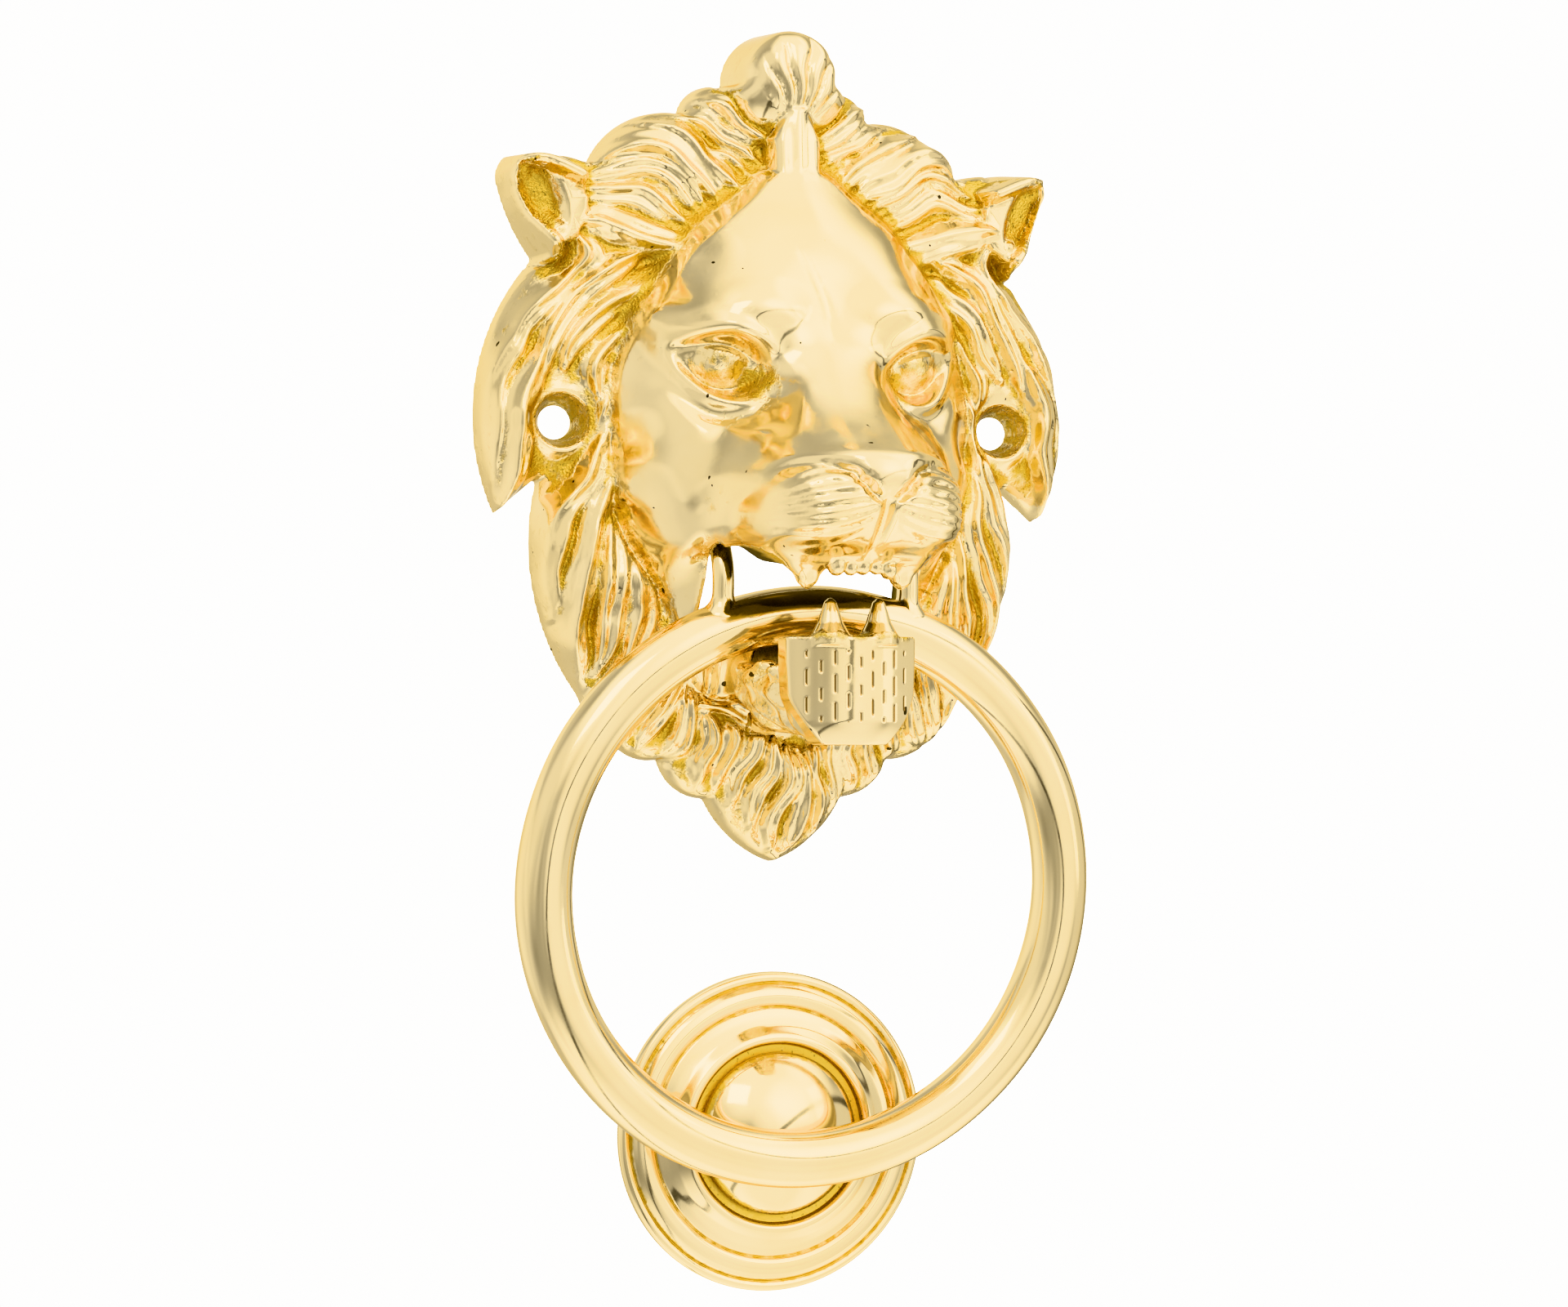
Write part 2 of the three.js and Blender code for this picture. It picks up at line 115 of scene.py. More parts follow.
# Depths of the smooth face, as (x, z, depth), right half. The surface passes smoothly near them.
FACE_POINTS = [
    # middle line, from the hairline down the nose to the lip
    (0, 52, 13), (0, 46, 19), (0, 39, 25), (0, 31, 30), (0, 24, 32.5), (0, 17, 34.5), (0, 12, 37.5),
    (0, 6, 43), (0, 0, 50), (0, -5, 57.5), (0, -8.7, 64), (0, -12, 65.5), (0, -16, 64.5),
    (0, -21, 61), (0, -26.5, 53),
    # flat top of the snout and its flanks
    (6, 10, 38), (6.5, 5, 42.5), (7.5, -1, 48.5), (9.5, -5.5, 54), (6, -8.7, 62), (12.5, -8.7, 55),
    (10, 6, 37.5), (12.5, -1, 42.5), (15, -6, 46.5), (17, -9, 47),
    # muzzle pads and the gum below them
    (10, -13, 60.5), (10, -18, 62), (10, -23.5, 59), (15, -13, 57), (15.5, -18, 57), (15, -23.5, 54),
    (18, -14, 51), (18.4, -19, 50), (17.6, -23.5, 46), (7, -26.8, 52), (12, -26.8, 49.5), (16, -26, 42),
    (19.3, -24.5, 30.5),
    # forehead and brow
    (6, 45, 18.5), (12, 40, 19.5), (8, 33, 28), (15, 33, 25), (21, 31, 19.5), (8, 24, 33.5), (16, 25, 31),
    (23, 25, 24), (8, 17, 36.5), (13, 18.5, 36), (19, 19, 34), (25, 18.5, 28), (29, 17, 22),
    # eye socket and cheek
    (11, 8.5, 34), (19, 10, 31), (27, 13, 24), (13, 3, 33.5), (19, 3, 30.5), (25, 6, 26.5),
    (20, -3, 33), (24, -2, 30.5), (28, 2, 25), (32, 2, 18.5), (22, -9, 35), (27, -9, 29), (31, -8, 22),
    (22, -16, 35), (26, -16, 29.5), (30, -16, 21.5), (21.5, -22, 31.5), (24, -23, 27.5), (27.5, -22.5, 21),
    (21, -27, 25), (24, -28, 20), (21, -32, 21.5), (23.5, -34, 16.5), (20.5, -38, 18.5), (19, -45, 16),
    # fall towards the mane
    (34.5, 6, 13.5), (34, -5, 13), (33, -17, 12.5), (29.5, -25, 13), (25, -33, 14), (31, 15, 16),
    (27, 24, 18.5), (38, 20, 11), (41, 4, 11), (40, -16, 11), (34, -36, 11), (32, -52, 9),
    (12, 54, 11), (32, 42, 11), (48, 40, 10), (50, 0, 9), (46, -30, 9),
    # chin behind the ring, and the beard
    (0, -44, 13.5), (10, -45, 14), (0, -54, 12.5), (12, -55, 12), (22, -56, 10), (0, -66, 11),
    (14, -66, 9.5), (0, -78, 10),
]

# Where the smooth face ends and the mane begins, right half from top to bottom.
FACE_EDGE = [(0, 47), (5, 45), (9.5, 40.5), (15.5, 35.5), (21.5, 30), (26.5, 22.5), (31, 15), (33.8, 6),
             (33.5, -5), (32.3, -16), (29, -24), (25, -31), (22, -38), (19, -46), (14, -50), (6, -48.5),
             (0, -48)]

# Locks of the mane: points along each lock from its root to its tip, its half-width and its height.
LOCKS = [
    # crown
    ([(1.5, 51.5), (6.8, 54.2), (12.6, 58), (17, 60)], 2.6, 4.0),
    ([(5.3, 50), (12.1, 52.8), (16.7, 55.4), (21, 56.9)], 2.4, 3.4),
    ([(3.8, 46.3), (8.3, 49.9), (12.9, 52)], 2.1, 3.0),
    ([(6.8, 43.6), (9.8, 47.5), (16.5, 50)], 2.1, 3.0),
    ([(9.8, 42.6), (15.9, 48.6), (20.5, 52.6), (27.5, 55)], 3.1, 4.6),
    ([(12.9, 40.8), (19, 47.2), (25, 50.6), (31.2, 51), (37, 47.6)], 3.2, 4.8),
    ([(14.4, 38), (20.5, 43), (26.6, 45.6), (32.7, 46), (38.5, 44.4)], 2.5, 3.2),
    ([(16.7, 35.2), (23.5, 39), (29.6, 42), (36.5, 41.6), (41.5, 42)], 2.6, 3.0),
    # from the forehead to the ear, then down the side
    ([(18.5, 32), (27.3, 33.6), (35.7, 36), (42.4, 36.6)], 3.3, 4.4),
    ([(41, 36), (38.8, 30.5), (43.3, 24), (50, 18.3), (54, 9)], 2.6, 3.4),
    ([(28.5, 30.5), (35.5, 28), (41, 21), (45.8, 13.5), (47.4, 7)], 2.7, 3.8),
    ([(24.5, 27.2), (29.5, 24.4), (35.7, 20.4), (39.8, 15), (42.4, 10)], 2.7, 4.2),
    ([(28.5, 19.6), (33.4, 15.5), (37, 10.4), (37.6, 4)], 2.4, 3.4),
    ([(50, 18), (54.6, 8), (56.4, -4), (55.6, -16.2)], 2.6, 3.4),
    ([(47.2, 13), (50.6, 4), (52.6, -6), (53.6, -15.8)], 2.9, 4.8),
    ([(33, 10), (35.6, 4), (36.4, -3), (37, -9)], 2.1, 2.8),
    # below the fixing hole
    ([(37, -4), (38.6, -10), (43.2, -17), (45.5, -25), (44.6, -35)], 3.1, 4.4),
    ([(34.6, -8), (36.5, -17), (38.4, -26), (41, -36), (39, -47.6)], 3.2, 5.2),
    ([(33.2, -18), (33.6, -27), (34.4, -36), (37, -46)], 2.9, 5.0),
    ([(30.4, -24.5), (29.6, -33), (30.8, -42), (33.4, -51), (31, -58)], 3.0, 5.0),
    ([(26.8, -31), (25.2, -38), (26.8, -46), (29.6, -54), (29.4, -60)], 2.9, 4.8),
    ([(23, -39), (22, -47), (25, -54), (27, -60)], 2.6, 4.4),
    ([(19.6, -47), (18.8, -53), (21, -59), (23, -62)], 2.5, 4.4),
    ([(16, -52.5), (15, -58), (16.2, -63), (16.6, -67.6)], 2.6, 4.4),
    # beard
    ([(19, -50.6), (13, -51), (7.5, -52.6), (2.4, -56.4)], 2.5, 3.6),
    ([(12, -54.6), (10, -58.6), (11.4, -63.4), (12.8, -68.6)], 2.4, 4.2),
    ([(6.4, -55.6), (7, -60.5), (9, -65.4), (9.2, -71)], 2.1, 3.8),
    ([(3.2, -58), (4.2, -63.6), (5.8, -69), (5, -75.6)], 2.0, 3.8),
    ([(0.8, -59.6), (1.2, -66), (2.4, -72), (1.2, -79.4)], 2.0, 4.2),
]


# ------------------------------------------------------------------ flat geometry, in x and z
def arc_points(start, end, bulge):
    """Points after start along an arc that swells to the left of the way from start to end."""
    start, end = np.array(start, float), np.array(end, float)
    chord = end - start
    length = np.hypot(*chord)
    left = np.array([-chord[1], chord[0]]) / length
    sweep = 4 * math.atan(bulge)
    radius = length / (2 * math.sin(sweep / 2))
    centre = (start + end) / 2 + left * (bulge * length / 2 - radius)
    arm = start - centre
    steps = max(1, round(sweep / 0.08))
    points = []
    for i in range(1, steps + 1):
        angle = -sweep * i / steps
        turned = (arm[0] * math.cos(angle) - arm[1] * math.sin(angle),
                  arm[0] * math.sin(angle) + arm[1] * math.cos(angle))
        points.append(centre + np.array(turned))
    return points


def mirrored(right):
    """A closed outline from its right half, which starts and ends on the middle line."""
    right = np.array(right, float)
    left = right[1:-1][::-1] * [-1, 1]
    return np.vstack([right, left])


def head_outline():
    points = [np.array([0.0, HEAD_HIGH[2]])]
    for end, bulge in HALF_OUTLINE:
        points.extend(arc_points(points[-1], end, bulge))
    return mirrored(points)


def smooth_curve(points, steps=40):
    """A Catmull-Rom curve through a few points."""
    p = np.array(points, float)
    p = np.vstack([2 * p[0] - p[1], p, 2 * p[-1] - p[-2]])
    spans = len(p) - 3
    out = []
    for t in np.linspace(0, spans, steps + 1):
        i = min(int(t), spans - 1)
        u = t - i
        a, b, c, e = p[i], p[i + 1], p[i + 2], p[i + 3]
        out.append(0.5 * (2 * b + (c - a) * u + (2 * a - 5 * b + 4 * c - e) * u ** 2
                          + (3 * b - a - 3 * c + e) * u ** 3))
    return np.array(out)


def polygon_distance(x, z, polygon):
    """Signed distance to a closed polygon, negative inside."""
    best = np.full(x.shape, 1e9, np.float32)
    inside = np.zeros(x.shape, bool)
    for (ax, az), (bx, bz) in zip(polygon, np.roll(polygon, -1, 0)):
        ex, ez = bx - ax, bz - az
        t = np.clip(((x - ax) * ex + (z - az) * ez) / (ex * ex + ez * ez + 1e-12), 0, 1)
        best = np.minimum(best, (x - ax - t * ex) ** 2 + (z - az - t * ez) ** 2)
        if az != bz:
            crosses = ((az > z) != (bz > z)) & (x < ex * (z - az) / (bz - az) + ax)
            inside ^= crosses
    distance = np.sqrt(best)
    return np.where(inside, -distance, distance)


def smooth_max(a, b, r):
    """The larger of two values, rounded over r where they meet."""
    h = np.clip(0.5 + (a - b) / (2 * r), 0, 1)
    return b + (a - b) * h + r * h * (1 - h)


def smooth_min(a, b, r):
    return -smooth_max(-a, -b, r)


def bump(x, z, cx, cz, rx, rz, turn=0.0):
    """A soft round bump, 1 at its centre and 0 at the radii, turned by some degrees."""
    c, s = math.cos(math.radians(turn)), math.sin(math.radians(turn))
    u = ((x - cx) * c + (z - cz) * s) / rx
    v = (-(x - cx) * s + (z - cz) * c) / rz
    return np.clip(1 - u * u - v * v, 0, None) ** 1.5


def line_distance(x, z, points):
    """Distance to a curve, how far along it (0 to 1) the nearest point is, and on which side it lies."""
    best = np.full(x.shape, 1e9, np.float32)
    along = np.zeros(x.shape, np.float32)
    side = np.zeros(x.shape, np.float32)
    count = len(points) - 1
    for i in range(count):
        (ax, az), (bx, bz) = points[i], points[i + 1]
        ex, ez = bx - ax, bz - az
        t = np.clip(((x - ax) * ex + (z - az) * ez) / (ex * ex + ez * ez), 0, 1)
        dx, dz = x - ax - t * ex, z - az - t * ez
        d2 = dx * dx + dz * dz
        near = d2 < best
        best = np.where(near, d2, best)
        along = np.where(near, (i + t) / count, along)
        side = np.where(near, np.sign(ex * dz - ez * dx), side)
    return np.sqrt(best), along, side


def thin_plate(points, x, z):
    """A smooth surface near (x, z, depth) points and their mirror images."""
    p = np.array(points, float)
    p = np.vstack([p, p[p[:, 0] > 0] * [-1, 1, 1]])
    n = len(p)

    def kernel(r2):
        return r2 * np.log(r2 + 1e-9)

    gap = (p[:, None, 0] - p[None, :, 0]) ** 2 + (p[:, None, 1] - p[None, :, 1]) ** 2
    system = np.zeros((n + 3, n + 3))
    # how far the surface may pass the points: little at the muzzle, more on the forehead and chin
    slack = np.where(p[:, 1] > -6, 18.0, np.where(p[:, 1] < -28, 10.0, 1.5))
    system[:n, :n] = kernel(gap) + np.diag(slack)
    system[:n, n] = system[n, :n] = 1
    system[:n, n + 1:] = p[:, :2]
    system[n + 1:, :n] = p[:, :2].T
    weights = np.linalg.solve(system, np.append(p[:, 2], [0, 0, 0]))
    depth = weights[n] + weights[n + 1] * x + weights[n + 2] * z
    for (px, pz, _), w in zip(p, weights):
        depth = depth + w * kernel((x - px) ** 2 + (z - pz) ** 2)
    return depth


# ------------------------------------------------------------------ relief of the head
def soft_noise(shape, spacing, rng):
    """Smooth random values from -1 to 1 on the flat grid, with bumps about spacing millimetres apart."""
    step = spacing / CELL
    coarse = rng.uniform(-1, 1, [int(n / step) + 3 for n in shape])
    u, v = np.arange(shape[0]) / step, np.arange(shape[1]) / step
    i, j = u.astype(int), v.astype(int)
    u, v = u - i, v - j
    u, v = (u * u * (3 - 2 * u))[:, None], (v * v * (3 - 2 * v))[None, :]
    low = coarse[np.ix_(i, j)] * (1 - u) + coarse[np.ix_(i + 1, j)] * u
    high = coarse[np.ix_(i, j + 1)] * (1 - u) + coarse[np.ix_(i + 1, j + 1)] * u
    return low * (1 - v) + high * v


def mane_relief(x, z, edge, rng):
    """Depth of the mane: a low domed field with tapered, grooved locks lying on it."""
    columns, rows = x.mean(1), z.mean(0)
    field = 7.0 + 6.0 * (1 - np.exp(-np.clip(-edge, 0, None) / 8.0)) + 0.9 * soft_noise(x.shape, 6.0, rng)
    depth = field - 0.8
    for points, lock_width, lock_height in LOCKS:
        half_width, height = lock_width * LOCK_BREADTH, lock_height * LOCK_RISE
        for side in (-1, 1):
            curve = np.array(points, float) * [side, 1]
            curve[1:-1] += rng.uniform(-0.7, 0.7, (len(points) - 2, 2))
            path = smooth_curve(curve, 30)
            low, high = path.min(0) - half_width - 2, path.max(0) + half_width + 2
            window = np.ix_((columns > low[0]) & (columns < high[0]), (rows > low[1]) & (rows < high[1]))
            gap, along, hand = line_distance(x[window], z[window], path)
            taper = np.clip(1.15 * np.sin(np.pi * np.clip(along, 0.02, 0.98) ** 0.8) ** 0.55, 0.3, 1)
            across = np.clip(gap / (half_width * taper), 0, 1)
            ridge = height * taper ** 0.5 * (1 - across ** 2) ** 0.7
            phase = rng.uniform(0, 6)
            grooves = 0.6 * np.cos(across * hand * 7.0 + phase + 2.5 * along) * (1 - across ** 2)
            root = field[window] - 1.6 + ridge + grooves
            lock = np.where(gap < half_width * taper, root, 0)
            depth[window] = smooth_max(depth[window], lock, 1.3)
    return depth + 0.16 * soft_noise(x.shape, 2.4, rng)


def crown_relief(x, z):
    """The round tuft on the crown: a domed disc with a fan of grooves rising from a stem."""
    radius = np.hypot(x, z - TUFT_Z)
    disc = 12.0 + 6.5 * np.sqrt(np.clip(1 - (radius / TUFT_RADIUS) ** 2, 0, 1))
    angle = np.arctan2(x, z - 52.0)
    fan = 0.7 * (np.abs(np.cos(angle * 12 + 0.2 * np.sin(z * 0.8))) ** 0.6 - 0.5) * 2
    fan = fan * np.clip((z - 55) / 4, 0, 1) * np.clip(1 - (np.hypot(x - 1.2, z - 63.8) / 8.8) ** 6, 0, 1)
    half = 2.6 + 2.4 * np.clip((57 - z) / 5, 0, 1)
    stem = 19.4 - 3.0 * (x / half) ** 4 + 0.25 * np.cos(x * 1.9) - 0.1 * (z - 46)
    tuft = np.where(radius < TUFT_RADIUS, disc + fan, 0)
    return tuft, np.where((z < 58) & (z > 43) & (np.abs(x) < half), stem, 0)


def ear_relief(x, z):
    """The ears: a leaf-shaped cup with a thick rolled rim."""
    across = np.abs(x)
    rim = [(46.0, 31.5), (50.6, 36), (53.2, 42.5), (52.4, 47.8), (47.5, 47.4), (40.5, 44.2)]
    gap, along, _ = line_distance(across, z, smooth_curve(rim, 30))
    width = 2.9 - 1.2 * along
    roll = 10.6 + 6.0 * (1 - np.clip(gap / width, 0, 1) ** 2) ** 0.6
    cup = 13.0 - 6.5 * bump(across, z, 48.2, 40.8, 9.0, 4.8, 63)
    fold, _, _ = line_distance(across, z, smooth_curve([(44.6, 35.0), (48.0, 40.5), (50.2, 45.2)], 16))
    cup = cup + 1.5 * np.clip(1 - (fold / 1.5) ** 2, 0, None)
    near = (bump(across, z, 47.8, 41.2, 10.5, 8.4, 60) > 0) | (gap < width)
    return np.where(near, np.maximum(cup, np.where(gap < width, roll, 0)), 0)


def add_creases(depth, x, z, creases):
    """Sinks creases into a surface: each one's points, width and depth, which is below 0 for a ridge."""
    for points, width, sink in creases:
        gap, along, _ = line_distance(x, z, smooth_curve(points, 24))
        taper = np.sin(np.pi * np.clip(along, 0.04, 0.96)) ** 0.5
        depth = depth - sink * taper * np.exp(-(gap / width) ** 2)
    return depth


def whisker_grooves(x, z):
    """Fine grooves that follow the swell of each muzzle pad, like the lines of latitude on a globe."""
    u = (np.abs(x) - 9.9) / 8.6
    v = (z + 17.6) / 7.6 + 0.16 * u
    line = v / np.sqrt(np.clip(1 - 0.8 * u * u, 0.2, 1))
    wave = np.abs(np.sin(np.pi * line / 0.27)) ** 0.55
    inside = np.clip((1 - u * u - v * v) * 3.5, 0, 1)
    return 1.0 * (wave - 1) * inside


def eye_relief(across, z):
    """One eye: the socket under the brow, the eyeball, two heavy lids and the folds beyond them."""
    depth = -3.6 * bump(across, z, 18.5, 8.6, 10.5, 6.4, 15)
    depth = depth + 3.4 * bump(across, z, 18.8, 9.2, 5.0, 3.9, 10)
    return add_creases(depth, across, z, [
        ([(10.5, 9.5), (14, 13.4), (19.5, 15.8), (27.5, 15.0)], 1.7, -1.9),
        ([(11.5, 8.2), (15, 11.4), (20, 13.0), (26, 12.6)], 0.75, 1.8),
        ([(11.8, 5.2), (16, 2.4), (21, 3.2), (25.4, 7.6), (28, 12.4)], 1.25, -2.1),
        ([(12.4, 7.0), (16, 4.9), (20.5, 5.4), (24.6, 9.0)], 0.75, 1.5),
        ([(11.5, 2.6), (15.5, -0.6), (22, 0.4), (27.5, 6.0)], 1.6, 1.2),
    ])


def nose_relief(across, z):
    """The nose's wedge, the cleft below it, and the pads on either side."""
    pads = 1.8 * bump(across, z, 9.9, -17.8, 9.2, 8.2)
    return add_creases(pads, across, z, [
        ([(0, -15.6), (0, -19), (0, -22.5), (0, -26)], 1.0, 2.4),
        ([(0.8, -16.6), (3.2, -15.0), (6.0, -12.0), (9.5, -10.4)], 0.9, 2.2),
        ([(8.5, -10.5), (12.5, -10.0), (16.2, -11.4), (18.6, -15)], 0.9, 1.5),
        ([(0.6, -25.2), (6, -25.6), (12, -25.2), (17.5, -23.4)], 1.1, 1.6),
        ([(18.4, -12.5), (20, -17), (19.6, -21.5), (17.6, -25)], 1.0, 2.2),
        ([(0, -8.6), (5, -8.5), (9, -8.5), (13, -8.9)], 1.2, -0.8),
    ])


def face_relief(x, z):
    """Depth of the polished face, with its eyes, nose, lip and cheeks."""
    across = np.abs(x)
    depth = thin_plate(FACE_POINTS, x, z) + eye_relief(across, z) + nose_relief(across, z)
    depth = depth + 0.8 * bump(across, z, 12, 20.5, 9, 5)
    # the furrow of the brow, then the folds beside the snout and beside the jaw
    depth = add_creases(depth, x, z, [([(-4.5, 31), (-2.2, 25), (-0.6, 20), (-0.2, 14.5)], 0.9, 0.45)])
    depth = add_creases(depth, across, z, [
        ([(8.5, 6), (11.5, 0.5), (15.5, -6), (19.5, -12)], 1.5, 0.9),
        ([(16.4, -43), (15.6, -47), (15.8, -51)], 1.2, 2.6),
    ])
    return depth + whisker_grooves(x, z)


def hole_relief(x, z, depth):
    """Flattens the relief round each fixing hole to the depth of its rim."""
    reach = np.hypot(np.abs(x) - HOLE_X, z)
    blend = np.clip((reach - HOLE_RIM_RADIUS - 0.4) / 2.6, 0, 1)
    blend = blend * blend * (3 - 2 * blend)
    return HOLE_RIM_DEPTH + (depth - HOLE_RIM_DEPTH) * blend


def head_relief(x, z, edge):
    """Depth of the whole front surface, and the distance to the edge of the face."""
    rng = np.random.default_rng(7)
    lean_x, lean_z = 1.3 * soft_noise(x.shape, 8.0, rng), 1.3 * soft_noise(x.shape, 8.0, rng)
    mane = mane_relief(x + lean_x, z + lean_z, edge, rng)
    tuft, stem = crown_relief(x + 0.4 * lean_x, z)
    mane = smooth_max(mane, tuft, 0.6)
    mane = smooth_max(mane, ear_relief(x, z), 0.5)
    face_side = polygon_distance(x, z, mirrored(smooth_curve(FACE_EDGE, 60)))
    face = face_relief(x, z) - np.clip(face_side, 0, None) * 1.1
    mane = mane - 0.8 * np.clip(1 - np.abs(face_side - 0.5) / 1.8, 0, 1)
    mane = mane - 30 * np.clip(0.4 - face_side / 3.0, 0, 1)
    surface = smooth_max(smooth_max(face, mane, 2.2), stem, 1.2)
    return hole_relief(x, z, surface), face_side


def blurred(values, radius):
    """A cheap soft blur: three box blurs along each axis."""
    out = values.astype(np.float64)
    for axis in (0, 1):
        for _ in range(3):
            padded = np.concatenate([np.repeat(out.take([0], axis), radius + 1, axis), out,
                                     np.repeat(out.take([-1], axis), radius, axis)], axis)
            sums = padded.cumsum(axis)
            width = 2 * radius + 1
            upper = sums.take(range(width, sums.shape[axis]), axis)
            lower = sums.take(range(0, sums.shape[axis] - width), axis)
            out = (upper - lower) / width
    return out


# ------------------------------------------------------------------ solid sculpting
def box_distance(x, d, z, low, high):
    parts = [np.maximum(lo - v, v - hi) for v, lo, hi in zip((x, d, z), low, high)]
    return np.maximum(np.maximum(parts[0], parts[1]), parts[2])


# The small upper teeth: place from the middle, height below the fixing holes' line, and radius.
INCISORS = [(-4.9, 27.3, 1.5), (-2.3, 27.7, 1.15), (0.0, 27.3, 1.35), (2.4, 27.6, 1.05), (4.8, 27.9, 1.45)]


def cone_teeth(x, d, z):
    """The upper canines and the row of small teeth between them."""
    reach = np.hypot(np.abs(x) - 8.8, (d - 46.0) * 0.9)
    heights = [-31.2, -30.7, -29.9, -29.0, -28.2, -27.2, -25.0]
    bell = np.interp(z, heights, [0.3, 1.3, 1.9, 2.2, 2.8, 4.0, 4.8])
    canine = np.maximum((reach - bell) * 0.75, np.maximum(z + 23.5, -31.3 - z))
    beads = 99.0
    for at, drop, size in INCISORS:
        reach = np.sqrt((x - at) ** 2 + ((d - 50.3) * 0.6) ** 2 + ((z + drop) * 0.8) ** 2)
        beads = smooth_min(beads, reach - size, 0.6)
    return smooth_min(canine, beads, 0.5)


def mouth_field(x, d, z):
    """Negative inside the open mouth: its upper edge follows the lip and its roof rises behind it."""
    corner = 4.0
    middle, half = (MOUTH_BOTTOM + MOUTH_TOP) / 2, (MOUTH_TOP - MOUTH_BOTTOM) / 2
    mx = np.clip(np.abs(x) - MOUTH_HALF + corner, 0, None)
    mz = np.clip(np.abs(z - middle) - half + corner, 0, None)
    rise = np.clip((np.abs(x) - 11.5) / 6.5, 0, 1)
    lip = -27.1 + 2.9 * rise * rise * (3 - 2 * rise) + 0.09 * np.clip(44 - d, 0, 30)
    return smooth_max(np.hypot(mx, mz) - corner, z - lip, 0.8)


def head_field(x, d, z):
    """Signed field of the head casting on a grid: negative inside the brass."""
    flat_x = np.broadcast_to(x[:, :, 0], (x.shape[0], z.shape[2]))
    flat_z = np.broadcast_to(z[0], (x.shape[0], z.shape[2]))
    edge = polygon_distance(flat_x, flat_z, head_outline())
    relief, face_side = head_relief(flat_x, flat_z, edge)
    slope = np.hypot(*np.gradient(blurred(relief, 1), CELL))
    steep = np.sqrt(1 + slope ** 2)

    front = (d - relief[:, None, :]) / steep[:, None, :]
    side = edge[:, None, :] + 0.40 + 0.10 * d
    body = smooth_max(front, side, 3.2)
    body = smooth_max(body, -d, 0.3)

    # hollow back: the relief lowered by the wall, inside an oval
    lowered = relief.copy()
    reach = int(round((WALL + 1.5) / CELL))
    for _ in range(2):
        for axis in (0, 1):
            shifted = [np.roll(lowered, s, axis) for s in (-reach // 2, reach // 2)]
            lowered = np.minimum(lowered, np.minimum(*shifted))
    hollow_top = np.minimum(blurred(lowered, 4), relief) - WALL
    oval = (np.sqrt((flat_x / 40) ** 2 + ((flat_z + 2) / 56) ** 2) - 1) * 40
    hollow = smooth_max((d - hollow_top[:, None, :]) / 1.5, oval[:, None, :], 2.0)

    # bosses: round the holes, the pin's lugs, and behind the jaw's seat
    reach_hole = np.hypot(np.abs(x) - HOLE_X, z)
    web = np.maximum(reach_hole - 8, HOLE_WEB_BACK - d)
    pin_reach = np.hypot(d + PIVOT[1], z - PIVOT[2])
    lug = np.maximum(np.minimum(pin_reach - 5, np.maximum(np.abs(z - PIVOT[2]) - 5, -PIVOT[1] - d)),
                     np.abs(np.abs(x) - 22.9) - 2.1)
    seat_boss = box_distance(np.abs(x), d, z, (-1, 6, -59), (10, 30, MOUTH_BOTTOM))
    hollow = np.maximum(hollow, -np.minimum(np.minimum(web, lug), seat_boss))
    body = smooth_max(body, -hollow, 0.8)

    # openings, and the teeth that hang into the mouth
    body = smooth_max(body, -mouth_field(x, d, z), 0.9)
    body = smooth_min(body, cone_teeth(x, d, z), 0.5)
    pocket = box_distance(np.abs(x), d, z, (-1, 14, -28), (20.4, 29, -13))
    arm_pocket = box_distance(np.abs(x), d, z, (-1, 14, -28), (20.4, 32, -21.5))
    seat = box_distance(np.abs(x), d, z, (-1, 12, -57.3), (8.3, 60, -40))
    body = np.maximum(body, -np.minimum(np.minimum(pocket, arm_pocket), seat))
    through = reach_hole - HOLE_RADIUS
    sink = (reach_hole - HOLE_RADIUS - np.clip(d - SINK_START, 0, None) * SINK_SLOPE) * 0.94
    rim = np.maximum(reach_hole - HOLE_RIM_RADIUS, RIM_FLOOR - d)
    relief_back = np.maximum(reach_hole - 5.5, d - HOLE_WEB_BACK)
    body = np.maximum(body, -np.minimum(np.minimum(through, sink), np.minimum(rim, relief_back)))
    screws = np.hypot(np.abs(x) - SCREW_X, z - SCREW_Z) - SCREW_HOLE_RADIUS
    pin_hole = np.maximum(pin_reach - 2.2, np.abs(x) - 24.9)
    body = np.maximum(body, -np.minimum(screws, pin_hole))
    return body, relief, face_side, edge


